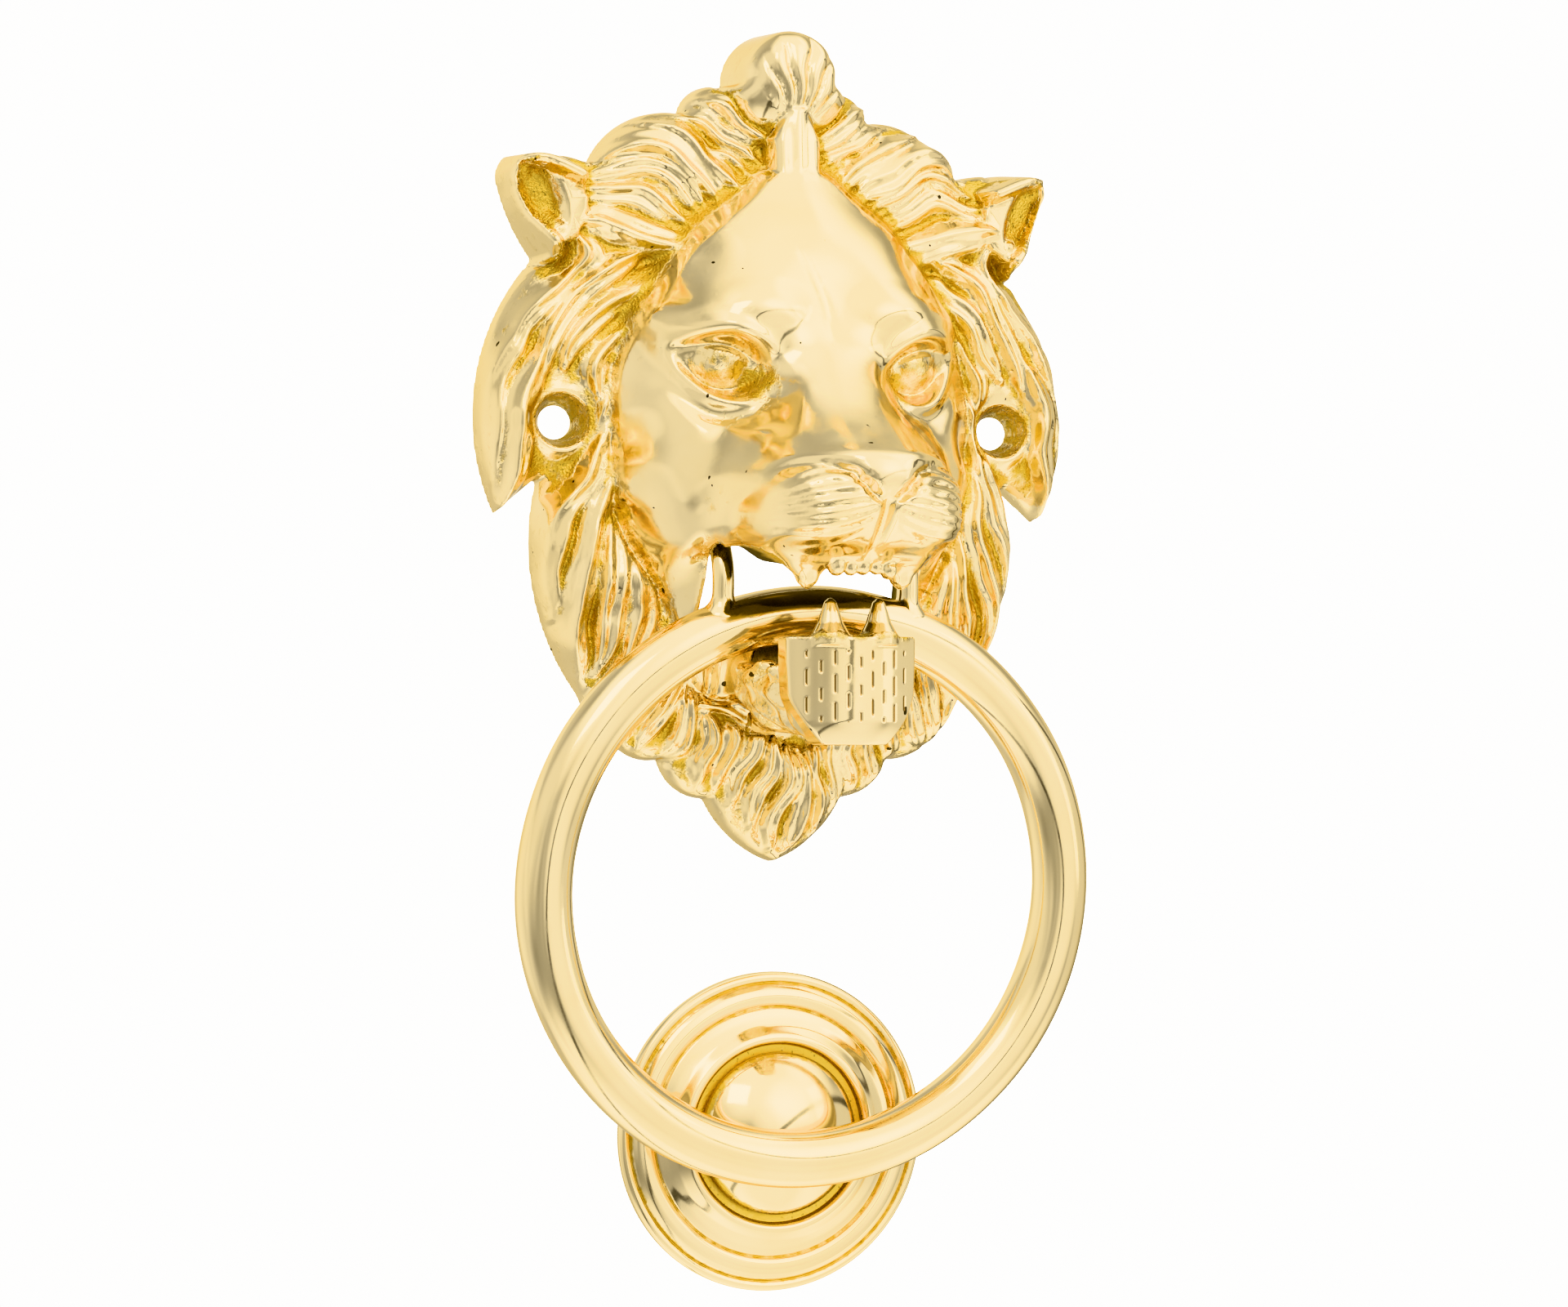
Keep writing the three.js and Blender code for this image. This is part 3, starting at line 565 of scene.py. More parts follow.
def surface_net(field, origin, cell):
    """Vertices and quads of a field's zero surface, one vertex in each cell that it crosses."""
    inside = field < 0
    nx, ny, nz = field.shape
    total = np.zeros((nx - 1, ny - 1, nz - 1), np.uint8)
    sums = np.zeros((3, nx - 1, ny - 1, nz - 1), np.float32)
    corners = list(np.ndindex(2, 2, 2))

    def part(values, c):
        return values[c[0]:nx - 1 + c[0], c[1]:ny - 1 + c[1], c[2]:nz - 1 + c[2]]

    for a in corners:
        for axis in range(3):
            if a[axis]:
                continue
            b = tuple(1 if i == axis else a[i] for i in range(3))
            fa, fb = part(field, a), part(field, b)
            cross = part(inside, a) != part(inside, b)
            t = np.where(cross, fa / np.where(cross, fa - fb, 1), 0)
            total += cross
            for i in range(3):
                at = a[i] + (t if i == axis else 0)
                sums[i] += np.where(cross, at, 0)
    used = total > 0
    index = np.full(used.shape, -1, np.int64)
    index[used] = np.arange(used.sum())
    cells = np.argwhere(used)
    offsets = np.stack([sums[i][used] / total[used] for i in range(3)], 1)
    vertices = (cells + offsets) * cell + origin

    quads = []
    for axis in range(3):
        u, v = (axis + 1) % 3, (axis + 2) % 3
        here = [slice(0, n) for n in (nx, ny, nz)]
        there = list(here)
        here[axis], there[axis] = slice(0, -1), slice(1, None)
        cross = inside[tuple(here)] != inside[tuple(there)]
        at = np.argwhere(cross)
        for side in (u, v):
            at = at[(at[:, side] > 0) & (at[:, side] < field.shape[side] - 1)]
        solid_first = inside[tuple(at.T)]
        ring = []
        for du, dv in ((1, 1), (0, 1), (0, 0), (1, 0)):
            c = at.copy()
            c[:, u] -= du
            c[:, v] -= dv
            ring.append(index[tuple(c.T)])
        quad = np.stack(ring, 1)
        quad[~solid_first] = quad[~solid_first][:, ::-1]
        quads.append(quad)
    return vertices, np.vstack(quads)


def field_values(field, origin, cell, points):
    """A grid's values at scattered points, between the two nearest samples along each axis."""
    at = np.clip((points - origin) / cell, 0, np.array(field.shape) - 1.001)
    base = at.astype(int)
    part = at - base
    total = 0
    for corner in np.ndindex((2,) * field.ndim):
        weight = np.prod(np.where(corner, part, 1 - part), 1)
        total = total + weight * field[tuple((base + corner).T)]
    return total


def shade_by_field(thing, field, origin, cell):
    """Takes the shading normals from the sculpted field, which is smoother than its mesh."""
    points = np.stack(points_mm(thing), 1)
    slopes = []
    for step in np.eye(3) * cell * 0.8:
        slopes.append(field_values(field, origin, cell, points + step)
                      - field_values(field, origin, cell, points - step))
    normals = np.stack([slopes[0], -slopes[1], slopes[2]], 1)
    normals /= np.linalg.norm(normals, axis=1)[:, None] + 1e-9
    thing.data.normals_split_custom_set_from_vertices(normals.tolist())


def add_object(name, data):
    thing = bpy.data.objects.new(name, data)
    bpy.context.scene.collection.objects.link(thing)
    return thing


def mesh_object(name, vertices_mm, faces):
    """A Blender mesh from (x, d, z) points in millimetres."""
    points = np.array(vertices_mm, float) * MM
    points = np.stack([points[:, 0], -points[:, 1], points[:, 2]], 1)
    mesh = bpy.data.meshes.new(name)
    mesh.from_pydata(points.tolist(), [], [list(map(int, face)) for face in faces])
    outward = bmesh.new()
    outward.from_mesh(mesh)
    bmesh.ops.recalc_face_normals(outward, faces=outward.faces)
    outward.to_mesh(mesh)
    outward.free()
    mesh.shade_smooth()
    return add_object(name, mesh)


def grid_faces(rows, columns, wrap=False):
    """Quads between neighbours of rows * columns points. Columns close on themselves; rows may too."""
    faces = []
    for i in range(rows if wrap else rows - 1):
        here, there = i * columns, (i + 1) % rows * columns
        for k in range(columns):
            m = (k + 1) % columns
            faces.append([here + k, here + m, there + m, there + k])
    return faces


# ------------------------------------------------------------------ pieces
# How much painted shade the head gets away from its front: back rim, side wall, back and fixing holes.
RIM_SHADE, SIDE_SHADE, BACK_SHADE, HOLE_SHADE = 0.4, 0.08, 0.85, 0.6
# Painted shade on the front, as a strength and a bump: corner of the eye, socket, ear.
SHADE_SPOTS = [
    (0.90, (13.5, 6.0, 4.2, 5.0, 20)),
    (0.42, (18.5, 8.0, 10.5, 6.0, 15)),
    (0.95, (48.2, 40.8, 9.5, 5.4, 63)),
]


def sculpting_grid(low, high, cell):
    """The x, d and z of a box's sculpting cells, as plain rows and as arrays that broadcast."""
    axes = [np.arange(lo, hi + cell, cell, dtype=np.float32) for lo, hi in zip(low, high)]
    return axes, np.ix_(*axes)


def make_head():
    margin = 1.5
    low, high = HEAD_LOW - margin, HEAD_HIGH + margin
    low[1] = -margin
    axes, grid = sculpting_grid(low, high, CELL)
    field, relief, face_side, edge = head_field(*grid)
    vertices, quads = surface_net(field, low, CELL)
    head = mesh_object("lion_head_casting", vertices, quads)
    thin = head.modifiers.new("thin", "DECIMATE")
    thin.ratio = min(1.0, MAX_TRIANGLES / (2 * len(quads)))
    apply_modifiers(head)
    shade_by_field(head, field, low, CELL)
    shade_head(head, low, relief, face_side, edge)
    return head


def shade_head(head, low, relief, face_side, edge):
    """How much painted shade each point of the head gets, and how raw it is (rougher, and painted near-black
    as shade), from where it lies on the casting.
    """
    x, d, z = points_mm(head)
    across = np.abs(x)
    flat_low, flat_points = low[[0, 2]].astype(np.float32), np.stack([x, z], 1)

    def here(grid):
        return field_values(grid, flat_low, CELL, flat_points)

    behind = here(relief) - d
    on_rim = d < 0.6
    near_edge = (here(edge) > -2.6) | on_rim
    on_mane = np.clip(here(face_side) / 3.0, 0, 1)
    # painted shade: places sunk below the blurred relief, the mane most, take the darker recess colour, and
    # so do the shade spots below
    sunk = np.clip(here(blurred(relief, 4) - relief) / 1.15, 0, 1)
    front = sunk ** 1.4 * (0.15 + 0.80 * on_mane)
    for strength, spot in SHADE_SPOTS:
        front = np.maximum(front, strength * bump(across, z, *spot))
    # painted shade on the back rim, the side wall, the back and the walls of the fixing holes
    side = np.where(near_edge, np.where(on_rim, RIM_SHADE, SIDE_SHADE), BACK_SHADE)
    in_hole = (np.hypot(across - HOLE_X, z) < 5.0) & (d > 3)
    set_values(head, "recess", np.where(in_hole, HOLE_SHADE, np.where(behind < 1.2, front, side)))
    # the hollow behind the front is raw casting, which is rougher; its near-black colour is painted shade
    raw_and_shaded = np.clip((behind - 3.5) / 3, 0, 1)
    set_values(head, "raw_and_shaded", np.where(near_edge | in_hole, 0, raw_and_shaded))


def apply_modifiers(thing):
    graph = bpy.context.evaluated_depsgraph_get()
    done = bpy.data.meshes.new_from_object(thing.evaluated_get(graph))
    thing.modifiers.clear()
    thing.data = done


def set_values(thing, name, values):
    """A number for each vertex, which a material can read by name."""
    attribute = thing.data.attributes.new(name, "FLOAT", "POINT")
    attribute.data.foreach_set("value", np.asarray(values, np.float32))


def points_mm(thing):
    """A piece's vertices as x, d and z in millimetres."""
    flat = np.empty(len(thing.data.vertices) * 3)
    thing.data.vertices.foreach_get("co", flat)
    flat = flat.reshape(-1, 3) / MM
    return flat[:, 0], -flat[:, 1], flat[:, 2]


def lathe(name, profile, centre, segments=128):
    """A solid turned about the d axis from (radius, d) points, which run from axis to axis."""
    profile = np.array(profile, float)
    cx, cz = centre
    rings = profile[(profile[:, 0] > 1e-6)]
    angles = np.linspace(0, 2 * np.pi, segments, endpoint=False)
    r, d = rings[:, 0][:, None], rings[:, 1][:, None]
    body = np.stack([cx + r * np.cos(angles), d + 0 * angles, cz + r * np.sin(angles)], -1).reshape(-1, 3)
    count = len(rings)
    closed = profile[0][0] > 1e-6
    faces = grid_faces(count, segments, closed)
    points = body.tolist()
    if not closed:
        first, last = len(points), len(points) + 1
        points.append([cx, profile[0][1], cz])
        points.append([cx, profile[-1][1], cz])
        base = (count - 1) * segments
        for k in range(segments):
            m = (k + 1) % segments
            faces.append([first, k, m])
            faces.append([last, base + m, base + k])
    return mesh_object(name, points, faces)


# ------------------------------------------------------------------ jaw, ring and strike plate
def cut_front(across, d, z):
    """Where the chin's front has its short cuts."""
    return (across < CUT_HALF) & (d > CUT_BACK) & (z > CUT_LOW) & (z < CUT_HIGH)


def jaw_field(x, d, z):
    """Signed field of the lower jaw: the chin in front of the ring, the cup under it, and two teeth."""
    x = x - JAW_OFFSET * np.clip((d - 20) / 14, 0, 1)
    across = np.abs(x)
    width = CHIN_HALF - 0.4 * np.clip((-44 - z) / 8, 0, 1) - 5.8 * np.clip((-49.5 - z) / 9.2, 0, 1) ** 1.5
    front = CHIN_FRONT - 4.9 * (across / CHIN_HALF) ** 2 - 1.6 * np.clip((-54.4 - z) / 4.3, 0, 1) ** 1.5
    chin = np.maximum((d - front) * 0.9, CHIN_BACK - d)
    chin = smooth_max(chin, (across - width) * 0.95, 0.5)
    chin = smooth_max(chin, np.maximum(z - CHIN_TOP, JAW_LOW[2] - z), 0.5)
    # short upright cuts, in staggered columns, on the chin's front
    column = np.round(x / CUT_PITCH)
    lane = np.abs(x - column * CUT_PITCH)
    phase = CUT_STAGGER * column % 1
    beat = np.abs((z + CUT_BEAT * phase + CUT_BEAT / 2) % CUT_BEAT - CUT_BEAT / 2)
    notch = np.clip(np.minimum(0.26 - lane, 1.05 + 0.8 * phase - beat), 0, 0.26) * 1.2
    chin = np.where(cut_front(across, d, z), np.maximum(chin, (d - front + notch) * 0.9), chin)
    # the cup: wide under the ring, narrow at the seat and at the chin, with a hollow top
    reach = np.interp(d, [12.3, 17.6, 20.8, 28, 37.5], [7.9, 8.0, 13.2, 13.4, 9.5])
    low = np.interp(d, [12, 20, 30, 38], [-56.8, -56.8, -57.5, -58.2]) + 6.5 * (across / 13.4) ** 2.6
    cup = smooth_max((across - reach) * 0.8, np.maximum(12.4 - d, d - 38), 0.6)
    cup = smooth_max(cup, np.maximum(low - z, z + 44.2), 2.6)
    bowl = np.sqrt(across ** 2 / 1.5 + (d - 28.5) ** 2 + (z + 42.0) ** 2 * 0.9) - 8.4
    cup = smooth_max(cup, -bowl, 1.2)
    folds = 0.45 * np.sin(d * 1.1 + across * 0.5 + 0.7 * np.sin(z * 0.5)) + 0.3 * np.sin(z * 1.3 + d * 0.6)
    flank = np.clip((across - 5) / 4, 0, 1) * np.clip((36.5 - d) / 4, 0, 1) * np.clip((d - 18) / 3, 0, 1)
    cup = cup + folds * flank
    bell = np.interp(JAW_HIGH[2] - z, [0.1, 0.8, 2.5, 4.5, 6.5], [0.3, 1.1, 1.7, 2.3, 3.4])
    tooth = np.hypot(across - 4.55, (d - 43.0)) - bell
    tooth = np.maximum(tooth * 0.85, np.maximum(z - JAW_HIGH[2] + 0.1, -41 - z))
    body = smooth_min(smooth_min(chin, cup, 1.2), tooth, 0.7)
    holes = np.maximum(np.hypot(across - SCREW_X, z - SCREW_Z) - SCREW_HOLE_RADIUS, d - 21)
    return np.maximum(body, -holes)


def make_jaw():
    low, high = JAW_LOW - 1, JAW_HIGH + (1.6, 1, 1)
    _, grid = sculpting_grid(low, high, JAW_CELL)
    field = jaw_field(*grid)
    jaw = mesh_object("jaw_casting", *surface_net(field, low, JAW_CELL))
    x, d, z = points_mm(jaw)
    # painted shade: darker towards the back of the cup and along the chin's top edge, under the mouth
    inner = np.clip((38 - d) / 6, 0, 1) * 0.3
    seam = np.exp(-((z + 39.4) / 0.8) ** 2) * 0.5 * (d > 38)
    set_values(jaw, "recess", np.maximum(inner, seam))
    set_values(jaw, "chin_front", cut_front(np.abs(x - JAW_OFFSET), d, z))
    shade_by_field(jaw, field, low, JAW_CELL)
    return jaw


def tube(path, radii, sides=40):
    """Points and quads of a round bar along a path that lies in one upright plane."""
    path = np.array(path, float)
    along = np.gradient(path, axis=0)
    along /= np.linalg.norm(along, axis=1)[:, None]
    across = np.array([1.0, 0, 0])
    other = np.cross(along, across)
    angle = np.linspace(0, 2 * np.pi, sides, endpoint=False)
    rings = [p + r * (np.outer(np.cos(angle), across) + np.outer(np.sin(angle), o))
             for p, r, o in zip(path, radii, other)]
    return np.vstack(rings), grid_faces(len(path), sides)


def make_ring():
    """The round bar bent to a ring, and its two cranked arms with their eyes on the pin."""
    turns, sides = 320, 72
    radius = (RING_HIGH[0] - RING_LOW[0]) / 2 - BAR_RADIUS
    lean, upright = math.sin(RING_TILT), math.cos(RING_TILT)
    centre_z = RING_LOW[2] + radius * upright + BAR_RADIUS
    rng = np.random.default_rng(3)
    waves = [(rng.integers(3, 15), rng.uniform(0, 6), rng.integers(1, 4)) for _ in range(7)]
    t = np.linspace(0, 2 * np.pi, turns, endpoint=False)[:, None]
    s = np.linspace(0, 2 * np.pi, sides, endpoint=False)[None, :]
    wobble = sum(np.sin(a * t + b + c * s) for a, b, c in waves) * 0.012 - 0.05
    r = BAR_RADIUS + wobble
    out = radius + r * np.cos(s)
    x = out * np.sin(t)
    up = out * np.cos(t)
    fore = r * np.sin(s)
    d = BAR_DEPTH + up * lean + fore * upright
    z = centre_z + up * upright - fore * lean
    points = np.stack([x, d, z], -1).reshape(-1, 3)
    faces = grid_faces(turns, sides, True)
    rise = math.sqrt(radius ** 2 - ARM_X ** 2)
    foot = (BAR_DEPTH + rise * lean, centre_z + rise * upright)
    bend = smooth_curve([foot, (26.6, -31.5), (26, -25.5), (-PIVOT[1], PIVOT[2])], 36)
    height = bend[:, 1] - foot[1]
    radii = 2.0 + 1.9 * np.clip(1 - (height - 3.6) / 3.4, 0, 1) ** 2.5
    eye = [(2.25, -2.4), (3.6, -2.4), (3.85, -2.1), (3.85, 2.1), (3.6, 2.4), (2.25, 2.4)]
    for arm_x in (-ARM_X, ARM_X):
        arm = tube(np.column_stack([np.full(len(bend), arm_x), bend]), radii)
        for more, quads in (arm, loop_about_x(eye, arm_x, -PIVOT[1], PIVOT[2])):
            faces += [[k + len(points) for k in quad] for quad in quads]
            points = np.vstack([points, more])
    ring = mesh_object("knocker_ring_bar", points, faces)
    x, d, z = points_mm(ring)
    # painted shade: the arms turn darker where they rise into the mouth
    set_values(ring, "recess", np.clip((z + 26) / 4, 0, 1) * 0.5)
    return ring


def loop_about_x(profile, cx, cd, cz, sides=48):
    """A closed ring about a line along x, from (radius, x) points."""
    angle = np.linspace(0, 2 * np.pi, sides, endpoint=False)
    points = [[cx + px, cd + r * math.cos(a), cz + r * math.sin(a)] for r, px in profile for a in angle]
    return np.array(points), grid_faces(len(profile), sides, True)


def rounded_profile(points, steps=5):
    """Softens the corners of a turned profile; a point given twice stays sharp."""
    p = np.array(points, float)
    out = [p[0]]
    for a, b, c in zip(p[:-2], p[1:-1], p[2:]):
        reach = 0.32 * min(np.hypot(*(b - a)), np.hypot(*(c - b)), 1.6)
        start = b + (a - b) / max(np.hypot(*(a - b)), 1e-6) * reach
        end = b + (c - b) / max(np.hypot(*(c - b)), 1e-6) * reach
        for t in np.linspace(0, 1, steps):
            out.append((1 - t) ** 2 * start + 2 * t * (1 - t) * b + t * t * end)
    out.append(p[-1])
    return np.array(out)


STRIKE = (0.0, (ROSE_LOW[2] + ROSE_HIGH[2]) / 2)
ROSE_PROFILE = [(5.3, 3), (14, 3), (20, 2), (26, 1.2), (26.5, 0.02), (29, 0.02), (29.75, 0.7), (29.75, 2.1),
                (29.3, 2.8), (28.7, 3.05), (28.1, 2.85), (27.8, 2.55), (27.3, 3.2), (26.5, 3.8), (25.4, 4.1),
                (24.3, 4.05), (23.6, 3.75), (23.3, 3.3), (22.9, 3.75), (21.5, 4.3), (20, 5.1), (19.1, 5.9),
                (18.4, 6.5), (17.7, 6.68), (17.1, 6.5), (16.7, 6.0), (16.55, 5.25), (5.3, 5.25), (5.3, 3)]


def make_rose():
    profile = rounded_profile(ROSE_PROFILE)
    rose = lathe("strike_rose_turned", profile[:-1], STRIKE, 200)
    x, d, z = points_mm(rose)
    r = np.hypot(x - STRIKE[0], z - STRIKE[1])
    # painted shade: the two turned grooves, the seat under the button and the back are darker
    line = np.exp(-((r - 23.3) / 0.35) ** 2) * 0.6 + np.exp(-((r - 27.75) / 0.4) ** 2) * 0.8
    inside = np.where(r < 16.9, 0.85, 0)
    back = np.where(d < 2.9, 0.6, 0) * (r < 28)
    set_values(rose, "recess", np.clip(np.maximum(np.maximum(line, inside), back), 0, 1))
    return rose


def make_button():
    dome_radius, foot, top = 14.3, 7.4, BUTTON_TOP
    sagitta = top - foot
    radius = (dome_radius ** 2 + sagitta ** 2) / (2 * sagitta)
    angles = np.linspace(math.asin(dome_radius / radius), 0, 26)
    dome = [(radius * math.sin(a), top - radius + radius * math.cos(a)) for a in angles[:-1]]
    profile = [(0, 9.5), (2.5, 9.0), (2.5, 0.4), (4.9, 0.4), (4.9, 5.5), (14.95, 5.5), (14.95, 6.7),
               (14.5, 7.0)] + dome + [(0, top)]
    button = lathe("strike_button_turned", profile, STRIKE, 160)
    x, d, z = points_mm(button)
    r = np.hypot(x - STRIKE[0], z - STRIKE[1])
    # painted shade: the dome's foot and the collar below it are darker
    set_values(button, "recess", np.clip((r - 13.9) / 0.6, 0, 1) * 0.7 + np.where(d < 5.6, 0.2, 0))
    return button


# ------------------------------------------------------------------ materials
class Graph:
    """Short ways to add the nodes of a material or of the world."""

    def __init__(self, owner, place="Object"):
        owner.use_nodes = True
        self.nodes = owner.node_tree.nodes
        self.links = owner.node_tree.links
        self.place = self.nodes.new("ShaderNodeTexCoord").outputs[place]

    def noise(self, scale, detail=3.0, distortion=0.0):
        node = self.nodes.new("ShaderNodeTexNoise")
        node.inputs["Scale"].default_value = scale
        node.inputs["Detail"].default_value = detail
        node.inputs["Distortion"].default_value = distortion
        self.links.new(self.place, node.inputs["Vector"])
        return node.outputs["Fac"]

    def ramp(self, value, low, high, out_low=0.0, out_high=1.0):
        node = self.nodes.new("ShaderNodeMapRange")
        node.interpolation_type = "SMOOTHSTEP"
        limits = {"From Min": low, "From Max": high, "To Min": out_low, "To Max": out_high}
        for name, number in limits.items():
            node.inputs[name].default_value = number
        self.links.new(value, node.inputs["Value"])
        return node.outputs["Result"]

    def mix(self, factor, a, b):
        node = self.nodes.new("ShaderNodeMix")
        node.data_type = "RGBA"
        self.links.new(factor, node.inputs["Factor"])
        for value, socket in ((a, node.inputs[6]), (b, node.inputs[7])):
            if isinstance(value, tuple):
                socket.default_value = (*value, 1)
            else:
                self.links.new(value, socket)
        return node.outputs[2]

    def maths(self, operation, a, b=0.0):
        node = self.nodes.new("ShaderNodeMath")
        node.operation = operation
        for socket, value in zip(node.inputs, (a, b)):
            if isinstance(value, (int, float)):
                socket.default_value = value
            else:
                self.links.new(value, socket)
        return node.outputs[0]

    def bump(self, height):
        node = self.nodes.new("ShaderNodeBump")
        node.inputs["Distance"].default_value = MM
        self.links.new(height, node.inputs["Height"])
        return node.outputs["Normal"]

    def lobe(self, direction, start, full, strength):
        """A soft bright or dark patch round one direction."""
        dot = self.nodes.new("ShaderNodeVectorMath")
        dot.operation = "DOT_PRODUCT"
        dot.inputs[1].default_value = Vector(direction).normalized()
        self.links.new(self.place, dot.inputs[0])
        return self.ramp(dot.outputs["Value"], start, full, 0.0, strength)

    def vertex_value(self, name):
        node = self.nodes.new("ShaderNodeAttribute")
        node.attribute_name = name
        return node.outputs["Fac"]


def chin_cuts(g):
    """Painted shade in the short cuts of the chin's front: 1 inside the cuts that jaw_field makes."""
    split = g.nodes.new("ShaderNodeSeparateXYZ")
    g.links.new(g.place, split.inputs[0])
    x = g.maths("SUBTRACT", split.outputs["X"], JAW_OFFSET * MM)
    column = g.maths("ROUND", g.maths("DIVIDE", x, CUT_PITCH * MM))
    lane = g.maths("ABSOLUTE", g.maths("SUBTRACT", x, g.maths("MULTIPLY", column, CUT_PITCH * MM)))
    phase = g.maths("FRACT", g.maths("MULTIPLY", column, CUT_STAGGER))
    height = g.maths("ADD", split.outputs["Z"], g.maths("MULTIPLY", phase, CUT_BEAT * MM))
    beat = g.maths("PINGPONG", height, CUT_BEAT * MM / 2)
    beat = g.maths("SUBTRACT", beat, g.maths("MULTIPLY", phase, 0.8 * MM))
    narrow = g.ramp(lane, 0.10 * MM, 0.22 * MM, 1.0, 0.0)
    short = g.ramp(beat, 0.9 * MM, 1.1 * MM, 1.0, 0.0)
    return g.maths("MULTIPLY", g.maths("MULTIPLY", narrow, short), g.vertex_value("chin_front"))


def scaled(colour, *factors):
    return tuple(c * k for c, k in zip(colour, factors * (3 // len(factors))))


def metal(name, polished, deep, rough, grain, scratches, pits=False, engraved=False):
    """Polished metal. Where the recess value rises it takes painted shade in the deep colour, and turns
    rougher and as grainy as cast.
    """
    material = bpy.data.materials.new(name)
    g = Graph(material)
    shader = g.nodes["Principled BSDF"].inputs
    shader["Metallic"].default_value = 1.0
    shader["Specular Tint"].default_value = (0.96, 0.84, 0.58, 1)
    recess = g.vertex_value("recess")
    ragged = g.ramp(g.noise(520, 4), 0.3, 0.7, -0.22, 0.22)
    low = g.ramp(g.maths("ADD", recess, ragged), 0.18, 0.72)
    cloudy = g.ramp(g.noise(45, 4, 0.4), 0.35, 0.7)
    skin = g.mix(cloudy, polished, scaled(polished, 0.97, 0.95, 0.88))
    speck = g.ramp(g.noise(1500, 2), 0.62, 0.72)
    # painted shade: recesses take the deep colour
    colour = g.mix(low, skin, deep)
    raw_and_shaded = g.vertex_value("raw_and_shaded")
    # raw casting is rougher (see the roughness below); its near-black colour here is painted shade
    colour = g.mix(raw_and_shaded, colour, scaled(deep, 0.16))
    colour = g.mix(g.maths("MULTIPLY", speck, g.maths("MULTIPLY", low, 0.8)), colour, scaled(deep, 0.22))
    if pits:
        colour = g.mix(g.ramp(g.noise(420, 1), 0.775, 0.785), colour, PIT_BROWN)
    if engraved:
        # painted shade in the chin's cuts
        colour = g.mix(chin_cuts(g), colour, CUT_SHADE)
    g.links.new(colour, shader["Base Color"])
    smear = g.ramp(g.noise(140, 5, 0.8), 0.35, 0.75, rough * 0.7, rough * 1.5)
    rougher = g.maths("ADD", g.maths("MULTIPLY", low, 0.24), g.maths("MULTIPLY", raw_and_shaded, 0.3))
    g.links.new(g.maths("ADD", smear, rougher), shader["Roughness"])
    cast = g.maths("MULTIPLY", g.noise(2100, 3), g.maths("MULTIPLY", low, grain))
    fine = g.maths("MULTIPLY", g.noise(260, 3), scratches)
    g.links.new(g.bump(g.maths("ADD", cast, fine)), shader["Normal"])
    return material


POLISHED = (0.90, 0.735, 0.41)
# AMBER is painted shade: the colour of brass lit only by light bounced off other brass, which recesses take
AMBER = (0.58, 0.395, 0.065)
PIT_BROWN = (0.05, 0.035, 0.015)
# the colour of the painted shade in the chin's cuts
CUT_SHADE = (0.24, 0.14, 0.04)
CAST_BRASS = metal("cast_brass", POLISHED, AMBER, 0.13, 0.34, 0.012, pits=True)
ENGRAVED_BRASS = metal("engraved_brass", POLISHED, AMBER, 0.13, 0.34, 0.012, pits=True, engraved=True)
TURNED_BRASS = metal("turned_brass", POLISHED, AMBER, 0.11, 0.05, 0.008)
STEEL = metal("steel_fixing", (0.60, 0.59, 0.57), (0.30, 0.28, 0.25), 0.28, 0.15, 0.05)


def finish_with(thing, material, slot_name, body, *nodes):
    """Gives a piece its material and its CAD body, and hides the CAD nodes that it stands for."""
    thing.data.materials.clear()
    thing.data.materials.append(material)
    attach(thing, body)
    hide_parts(*nodes)


# ------------------------------------------------------------------ the room
TENT_STRENGTH = 0.78
# Bright patches of the tent: direction, cosine where each starts and where it is full, strength.
TENT_LOBES = [
    ((0.15, -0.5, 0.85), 0.42, 0.93, 3.0),
    ((0.1, -0.1, -0.99), 0.40, 0.95, 2.1),
    ((-0.4, 0.9, 0.1), 0.50, 0.95, 0.45),
    ((0.33, -0.94, 0.0), 0.70, 0.98, 1.5),
    ((-0.9, -0.3, 0.3), 0.75, 0.97, 0.8),
    ((-0.75, -0.6, -0.2), 0.84, 0.99, -0.35),
]
# A narrow dark gap in the tent: the cone's axis, its cosine and half its width.
DARK_GAP = ((0.62, -0.35, -0.70), 0.42, 0.05)


def make_stage():
    """A white floor and backdrop, in metres, which the brass doesn't reflect."""
    half, back, floor_z = 12.0, 1.6, HEAD_LOW[2] * MM - 0.35
    square = [(-half, -half), (half, -half), (half, half), (-half, half)]
    corners = {
        "floor": [(x, y, floor_z) for x, y in square],
        "backdrop": [(x, back, z) for x, z in square],
    }
    paper = bpy.data.materials.new("white_paper")
    g = Graph(paper)
    shader = g.nodes["Principled BSDF"].inputs
    shader["Roughness"].default_value = 0.9
    shader["Emission Color"].default_value = (1, 1, 1, 1)
    shader["Emission Strength"].default_value = 5.0
    g.links.new(g.mix(g.noise(300), (0.93, 0.93, 0.92), (0.97, 0.97, 0.96)), shader["Base Color"])
    for name, points in corners.items():
        thing = add_object(name, bpy.data.meshes.new(name))
        thing.data.from_pydata(points, [], [(0, 1, 2, 3)])
        thing.data.materials.append(paper)
        thing.visible_glossy = False
        thing.visible_diffuse = False


def aimed(name, data, place, aim):
    """A lamp or camera at a place, looking at a point."""
    thing = add_object(name, data)
    thing.location = place
    thing.rotation_euler = (Vector(aim) - Vector(place)).to_track_quat("-Z", "Y").to_euler()
    return thing


def add_light(name, place, size, power):
    data = bpy.data.lights.new(name, "AREA")
    data.shape = "RECTANGLE"
    data.size, data.size_y = size
    data.energy = power
    aimed(name, data, place, (0, 0, -0.03))


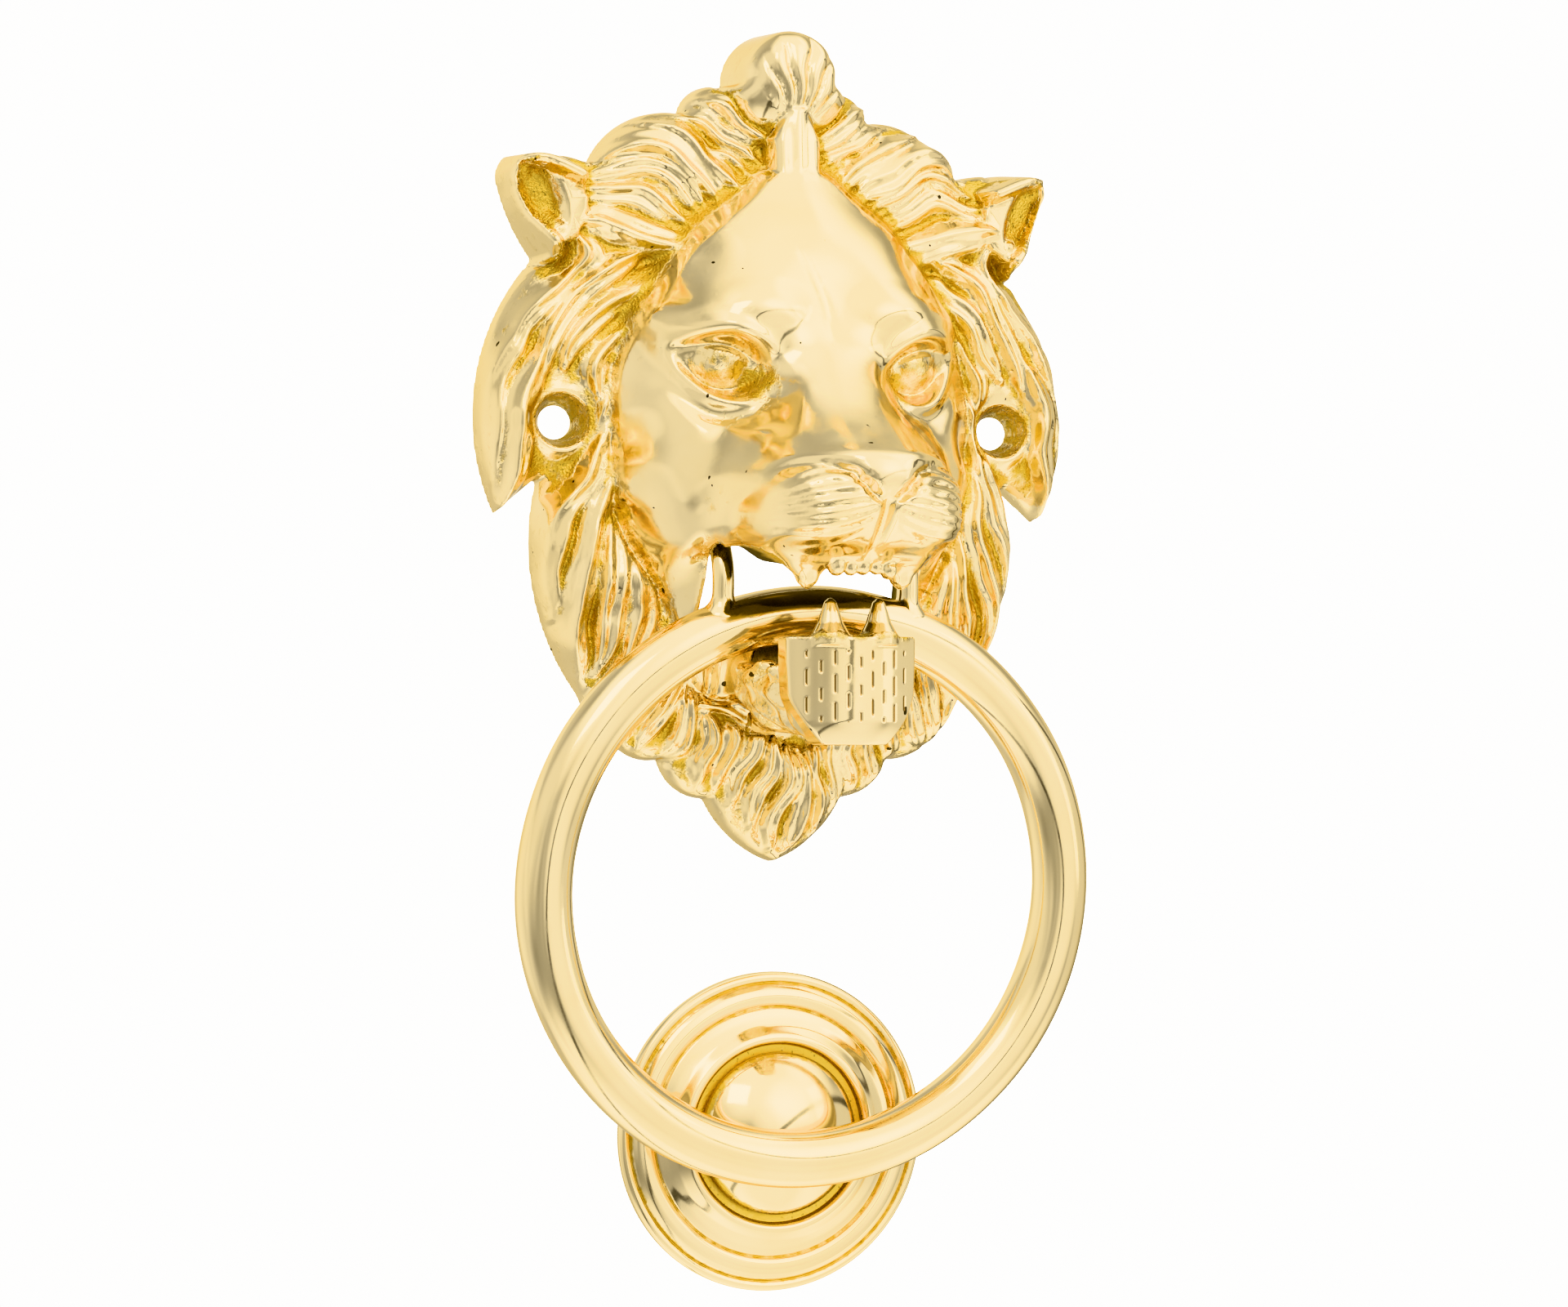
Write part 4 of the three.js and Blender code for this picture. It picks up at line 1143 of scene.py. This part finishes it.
def make_camera():
    aim = Vector((0, 0, -0.0428))
    away = Vector((-0.3308, -0.9436, -0.0133)).normalized()
    data = bpy.data.cameras.new("camera")
    data.lens, data.sensor_width = 85.7, 36.0
    data.shift_x, data.shift_y = 0.0105, 0.003
    data.clip_start, data.clip_end = 0.01, 50
    bpy.context.scene.camera = aimed("camera", data, aim + away * 0.700, aim)


def make_world():
    """A soft white tent, brighter above, below and in front, with loose folds and a narrow dark gap."""
    world = bpy.data.worlds.new("studio")
    g = Graph(world, "Generated")
    total = TENT_STRENGTH
    for patch in TENT_LOBES:
        total = g.maths("ADD", total, g.lobe(*patch))
    folds = g.ramp(g.noise(1.3, 0.0), 0.40, 0.60, 0.68, 1.15)
    total = g.maths("MULTIPLY", total, folds)
    axis, at, half = DARK_GAP
    inner = g.lobe(axis, at - half, at - half * 0.5, 1.0)
    outer = g.lobe(axis, at + half * 0.5, at + half, 1.0)
    band = g.maths("MULTIPLY", g.maths("SUBTRACT", inner, outer), 0.85)
    total = g.maths("MULTIPLY", total, g.maths("SUBTRACT", 1.0, band))
    background = g.nodes["Background"].inputs
    background["Color"].default_value = (1.0, 0.985, 0.955, 1)
    g.links.new(total, background["Strength"])
    bpy.context.scene.world = world


bpy.context.scene.view_settings.view_transform = "Khronos PBR Neutral"
make_camera()
make_world()
add_light("key", (-0.7, -0.8, 0.75), (0.5, 0.5), 4.0)
add_light("fill", (1.0, -0.6, 0.2), (0.3, 0.9), 1.6)
make_stage()

# ------------------------------------------------------------------ putting it together
finish_with(make_head(), CAST_BRASS, "cast_brass", "door_side", "lion_head")
finish_with(make_jaw(), ENGRAVED_BRASS, "cast_brass", "door_side", "lower_jaw")
finish_with(make_ring(), TURNED_BRASS, "cast_brass", "knocker", "knocker_ring")
finish_with(make_rose(), TURNED_BRASS, "turned_brass", "door_side", "strike_rose")
finish_with(make_button(), TURNED_BRASS, "turned_brass", "door_side", "strike_button")

for node, material in (("pivot_pin", STEEL), ("jaw_screw_left", STEEL), ("jaw_screw_right", STEEL),
                       ("button_nut", TURNED_BRASS)):
    frame["nodes"][node].data.materials.clear()
    frame["nodes"][node].data.materials.append(material)
